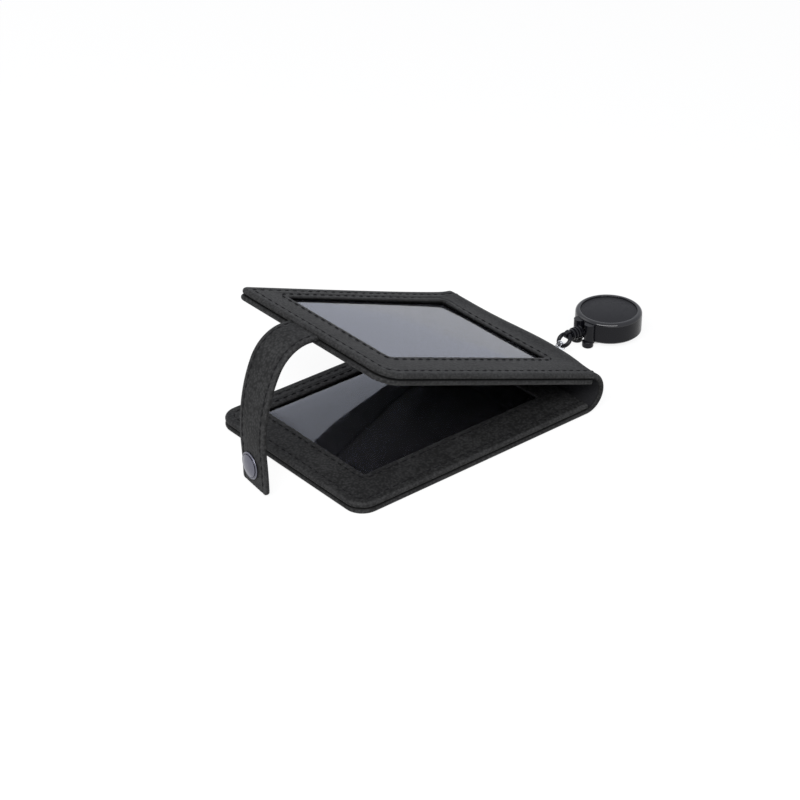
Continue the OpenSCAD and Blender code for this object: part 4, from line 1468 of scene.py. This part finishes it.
@dataclass
class Snap:
    """The domed cap and its socket on the strap's end.

    Attributes:
        strap: The strap that they are set in.
        cap_d: Diameter of the cap.
        cap_h: Height of its dome.
        rim: Radius of its rolled rim.
        post_r: Radius of the post behind it.
        socket_d: Diameter of the socket's flange.
        socket_h: Height of its collar.
        bore_r: Radius of its bore.
    """

    strap: Strap
    cap_d: float = 12.5
    cap_h: float = 2.0
    rim: float = 0.4
    post_r: float = 2.2
    socket_d: float = 10.5
    socket_h: float = 2.2
    bore_r: float = 2.55

    def build(self, finish: Finishes) -> None:
        """Makes the cap and the socket, turned to face outwards and inwards, beside their nodes' middles."""
        strap = self.strap
        centre, across, out = (v[0] for v in strap.route(np.array([strap.total - strap.cap_from_end])))
        for name, profile, way, node in (
            ("cap_dome", self._cap_profile(), out, "snap_cap"),
            ("socket_ring", self._socket_profile(), -out, "snap_socket"),
        ):
            low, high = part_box(node)
            base = centre + way * strap.thick / 2
            shift = np.array(low + high) / 2 / MM - base
            shift[0] = 0.0
            turn = np.stack([np.cross(across, way), across, way], -1)
            piece = turned(profile).moved(turn, base + shift - (shift @ way) * way)
            make_piece(name, piece, finish.snap, [node], "strap_lower_body")

    def _cap_profile(self) -> Array:
        """Returns the cap's profile: a shallow dome, a groove, a rolled rim and the post behind it."""
        r, h, rim, fullness = self.cap_d / 2, self.cap_h, self.rim, 2.4
        dome_edge, groove_at = (3 * rim, 2.6 * rim), (2.5 * rim, 1.5 * rim)
        share = np.linspace(0, 1, 24)
        dome = np.stack([(r - dome_edge[0]) * share, h - (h - dome_edge[1]) * share**fullness], -1)
        groove = arc(r - groove_at[0], groove_at[1], rim / 2, 150, 360, 9)
        roll = arc(r - rim, rim, rim, 120, -90, 9)
        foot = -self.strap.thick - self.socket_h / 2
        return np.concatenate([dome, groove, roll, [[self.post_r, 0.0], [self.post_r, foot], [0.0, foot]]])

    def _socket_profile(self) -> Array:
        """Returns the socket's profile: a flat flange, a raised collar and the bore, as a closed loop."""
        r, h, bore, soft, lip = self.socket_d / 2, self.socket_h, self.bore_r, 0.25, 0.4
        foot, waist, top, chamfer = (1.2, 0.55), (1.4, 1.2), 1.9, 0.6
        flange = np.concatenate([arc(r - soft, soft, soft, -90, 90, 7), [[r - foot[0], foot[1]]]])
        collar = np.concatenate([[[r - waist[0], waist[1]]], arc(r - top, h - lip, lip, 0, 180, 9)])
        loop = np.concatenate([flange, collar, [[bore, h - chamfer], [bore, 0.0]]])
        return np.concatenate([loop, loop[:1]])


@dataclass
class Reel:
    """The cord reel's front shell, its face disc and its feet.

    Attributes:
        radius: The case's radius.
        skirt: Height of the front shell's skirt.
        rim_r: Radius of the rim's outer edge.
        rim_w: Width of the rim.
        recess: Depth of the face below the rim.
        face: Thickness of the face disc.
        roof: Thickness of the shell under it.
        lip: Width of the shell's inner lip.
        wall: Thickness of its wall.
        fit: Clearance between the pieces.
        foot_x: Distance of the feet from the case's axis, towards the cord.
        foot_y: Half the distance between the feet.
        foot_r: Radius of a foot.
        foot_edge: Radius of its edges.
        foot_low: Height of a foot's underside.
        foot_high: Height of its top, inside the cheek.
        sides: Points round the case.
        foot_sides: Points round a foot.
    """

    radius: float = 16.0
    skirt: float = 1.7
    rim_r: float = 1.6
    rim_w: float = 2.4
    recess: float = 0.6
    face: float = 0.5
    roof: float = 0.9
    lip: float = 1.0
    wall: float = 1.4
    fit: float = 0.05
    foot_x: float = 17.0
    foot_y: float = 3.7
    foot_r: float = 2.75
    foot_edge: float = 0.7
    foot_low: float = 0.1
    foot_high: float = 3.4
    sides: int = 160
    foot_sides: int = 48

    def build(self, finish: Finishes) -> None:
        """Makes the front shell, the face and the feet."""
        low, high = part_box("reel_front_shell")
        centre, top = (low + high) / 2 / MM, high[2] / MM
        axis = np.array([centre[0], centre[1], 0.0])
        foot = turned(self._foot_profile(), self.foot_sides)
        feet = [foot.moved(np.eye(3), axis + [-self.foot_x, side * self.foot_y, 0.0]) for side in (-1, 1)]
        front = turned(self._front_profile(top), self.sides).moved(np.eye(3), axis)
        face = turned(self._face_profile(top), self.sides).moved(np.eye(3), axis)
        make_piece("reel_front", front, finish.case, ["reel_front_shell"], "reel")
        make_piece("reel_feet", Surface.joined(feet), finish.guide, (), "reel")
        make_piece("reel_face", face, finish.face, ["reel_face_disc"], "reel")

    def _front_profile(self, top: float) -> Array:
        """Returns the front shell's profile: skirt, round rim, recess, and the inner lip."""
        seam, soft, round_in = 0.02, 0.2, 0.35
        r, z, inner = self.radius, top - self.skirt, self.radius - self.wall - self.fit
        rim, corner = r - self.rim_w, (r - self.rim_r, top - self.rim_r)
        floor_z, lip_r = top - self.recess - self.face, r - self.wall - self.lip
        roof_z, lip_z = floor_z - self.roof, z - self.lip
        return np.concatenate([
            [[inner, lip_z], [inner, z - seam], [r - round_in, z - seam]],
            arc(r - soft, z + soft, soft, -90, 0, 5),
            arc(*corner, self.rim_r, 0, 90, 12),
            [[rim + round_in, top]],
            arc(rim + round_in, top - round_in, round_in, 90, 180, 6),
            [[rim, floor_z], [0.0, floor_z], [0.0, roof_z], [lip_r, roof_z], [lip_r, lip_z], [inner, lip_z]],
        ])

    def _foot_profile(self) -> Array:
        """Returns the profile of a foot under a cheek, a low disc with round edges."""
        r, low, high = self.foot_edge, self.foot_low, self.foot_high
        x = self.foot_r - r
        under, over = arc(x, low + r, r, -90, 0, 7), arc(x, high - r, r, 0, 90, 7)
        return np.concatenate([[[0.0, low]], under, over, [[0.0, high]]])

    def _face_profile(self, top: float) -> Array:
        """Returns the face disc's profile: flat, with a soft edge."""
        r, z, soft = self.radius - self.rim_w - self.fit, top - self.recess, 0.15
        under, edge = z - self.face, arc(r - soft, z - soft, soft, 90, 0, 4)
        return np.concatenate([[[0.0, z]], edge, [[r, under], [0.0, under]]])


@dataclass
class Dressing:
    """Finishes for the nodes whose own shape is kept, each with its nodes."""

    rows: tuple[tuple[str, tuple[str, ...]], ...] = (
        ("tab", ("spine_tab",)),
        ("backing", ("cover_board",)),
        ("snap", ("snap_stud", "snap_stud_rivet", "leash_snap_cap", "leash_snap_stud")),
        ("wire", ("spine_loop", "clip_plate", "clip_bend", "clip_tongue", "clip_screw")),
        ("guide", ("reel_back_shell", "leash_ring", "cord_ferrule")),
        ("spool", ("reel_spool", "spring_arbor")),
        ("spring", ("mainspring",)),
        ("wound", ("wound_cord",)),
        ("vinyl", ("clear_strap",)),
    )

    def build(self, finish: Finishes) -> None:
        """Puts each finish in its nodes' material slots."""
        for key, nodes in self.rows:
            material = getattr(finish, key).material
            for name in nodes:
                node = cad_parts[name]
                if not node.material_slots:
                    node.data.materials.append(material)
                for slot in node.material_slots:
                    slot.material = material
                LOG.info("%s dressed as %s", name, material.name)


@dataclass
class Cord:
    """The stretch of pull cord between the ferrule and the spool.

    Attributes:
        diameter: Its diameter.
        held: Length that would stay with the ferrule when the cord is pulled; not used.
        points: Points along it.
        sides: Points round it.
    """

    diameter: float = 0.9
    held: float = 5.0
    points: int = 40
    sides: int = 14

    def build(self, finish: Finishes) -> None:
        """Makes the cord along its node's axis."""
        low, high = (np.array(corner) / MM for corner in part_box("pull_cord"))
        middle = (low + high) / 2
        path = np.linspace([low[0], *middle[1:]], [high[0], *middle[1:]], self.points)
        radius = np.full(self.points, self.diameter / 2)
        radius[[0, -1]] = 0.0
        piece = make_piece("cord_run", tube(path, radius, self.sides), finish.cord, ["pull_cord"])
        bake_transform(piece)


# Stage

@dataclass
class Stage:
    """The floor, the lights and the camera.

    Attributes:
        focal_px: The camera's focal length in pixels of the photograph.
        frame_px: The photograph's width in pixels.
        azimuth: The camera's azimuth in degrees.
        elevation: Its elevation in degrees.
        distance: From the camera to the fitted point, in mm.
        centre_px: Where that point lies in the frame.
        fitted_point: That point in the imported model's frame, in mm.
        floor_size: Side of the floor, in metres.
        floor_drop: Depth of the floor below the object's underside, in mm.
        ambient: Strength of the world's light.
        sky: Colour of the world's light and of what the object mirrors.
        floor_plain: Brightness of the floor as a source of light.
        floor_soft: Brightness of its diffuse part where it is seen.
        floor_glow: Strength of its glow where it is seen.
        lamps: The soft boxes' names, places and sizes in metres, and powers in watts.
    """

    focal_px: float = 2219.065
    frame_px: float = 800.0
    azimuth: float = -39.991
    elevation: float = 30.666
    distance: float = 928.699
    centre_px: tuple[float, float] = (359.567, 519.808)
    fitted_point: tuple[float, float, float] = (-66.25, -50.5, 0.0)
    floor_size: float = 6.0
    floor_drop: float = 0.05
    ambient: float = 0.36
    sky: Colour = (0.92, 0.94, 1.0)
    floor_plain: float = 0.92
    floor_soft: float = 0.17
    floor_glow: float = 0.88
    lamps: tuple = (
        ("key", (-0.5, -0.5, 0.75), (1.25, 0.4), 10.5),
        ("rear", (-0.45, 0.85, 0.8), (0.7, 0.7), 1.6),
    )

    def build(self) -> None:
        """Makes the camera, the world, the lamps and the floor."""
        self._camera()
        self._world()
        self._lamps()
        self._floor()
        bpy.context.scene.view_settings.view_transform = "Standard"

    def _camera(self) -> None:
        """Puts the camera where the photograph was taken from.

        Its right, up and back directions follow from the azimuth and elevation, and it stands at the
        fitted point, moved along them so that the point falls on its pixel.
        """
        az, el = math.radians(self.azimuth), math.radians(self.elevation)
        back = Vector((math.sin(az) * math.cos(el), -math.cos(az) * math.cos(el), math.sin(el)))
        right = Vector((math.cos(az), math.sin(az), 0.0))
        up = back.cross(right)
        half = self.frame_px / 2
        across = (self.centre_px[0] - half) / self.focal_px * self.distance
        above = -(self.centre_px[1] - half) / self.focal_px * self.distance
        place = Vector(self.fitted_point) - across * right - above * up + self.distance * back
        data = bpy.data.cameras.new("camera")
        data.sensor_width = 36.0
        data.lens = self.focal_px / self.frame_px * data.sensor_width
        data.clip_start, data.clip_end = 0.01, 50.0
        camera = bpy.data.objects.new("camera", data)
        turn = Matrix((right, up, back)).transposed().to_4x4()
        camera.matrix_world = Matrix.Translation(place * MM) @ turn
        bpy.context.scene.collection.objects.link(camera)
        bpy.context.scene.camera = camera

    def _world(self) -> None:
        """Makes the world: white where it is seen or mirrored, and softer as a light."""
        world = bpy.data.worlds.new("studio")
        bpy.context.scene.world = world
        nodes = Nodes(world)
        strength = self.ambient + nodes.seen() * (1 - self.ambient)
        camera = nodes.node("ShaderNodeLightPath", {}, {}, "Is Camera Ray")
        colour = nodes.mix(camera, self.sky, (1.0, 1.0, 1.0))
        nodes.fill("Background", {"Color": colour, "Strength": strength})

    def _lamps(self) -> None:
        """Hangs a long soft box to the front left, and a wide one to the rear left.

        They don't shine through the films, which would leave specks.
        """
        for name, place, (width, height), power in self.lamps:
            data = bpy.data.lights.new(name, "AREA")
            data.shape = "RECTANGLE"
            data.size, data.size_y = width, height
            data.energy = power
            lamp = bpy.data.objects.new(name, data)
            lamp.location = place
            lamp.visible_transmission = False
            lamp.rotation_mode = "QUATERNION"
            lamp.rotation_quaternion = Vector(place).to_track_quat("Z", "Y")
            bpy.context.scene.collection.objects.link(lamp)

    def _floor(self) -> None:
        """Lays a white floor that keeps the object's shadow and looks white where it is lit.

        Where it is seen it is part diffuse and part glow, and as a source of light it is plain white.
        Seen from below it is clear.
        """
        half = self.floor_size / 2
        mesh = bpy.data.meshes.new("floor")
        corners = [(-half, -half), (half, -half), (half, half), (-half, half)]
        mesh.from_pydata([(x, y, -self.floor_drop * MM) for x, y in corners], [], [(0, 1, 2, 3)])
        floor = bpy.data.objects.new("floor", mesh)
        bpy.context.scene.collection.objects.link(floor)
        material = bpy.data.materials.new("floor")
        nodes = Nodes(material)
        plain, soft = (
            nodes.node("ShaderNodeBsdfDiffuse", {}, {"Color": (grey,) * 3})
            for grey in (self.floor_plain, self.floor_soft)
        )
        glow = nodes.node("ShaderNodeEmission", {}, {"Strength": self.floor_glow})
        lit = nodes.node("ShaderNodeAddShader", {}, {0: soft, 1: glow})
        white = nodes.node("ShaderNodeMixShader", {}, {0: nodes.seen(), 1: plain, 2: lit})
        clear = nodes.node("ShaderNodeBsdfTransparent", {}, {})
        below = nodes.node("ShaderNodeNewGeometry", {}, {}, "Backfacing")
        surface = nodes.node("ShaderNodeMixShader", {}, {0: below, 1: white, 2: clear})
        nodes.fill("Material Output", {"Surface": surface})
        mesh.materials.append(material)


def main() -> None:
    """Builds the stage and then each sub-assembly, in the order in which the wallet is sewn."""
    logging.basicConfig(level=logging.INFO, format="%(name)s: %(message)s")
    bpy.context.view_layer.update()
    Stage().build()
    finish = Finishes()
    spine = Spine()
    back = BackPanel()
    cover = Cover(spine)
    strap = Strap(spine, cover.panel)
    back.build(finish)
    cover.build(finish)
    spine.build(back.panel, finish)
    strap.build(finish)
    Snap(strap).build(finish)
    Cord().build(finish)
    Reel().build(finish)
    Dressing().build(finish)


if __name__ == "__main__":
    main()
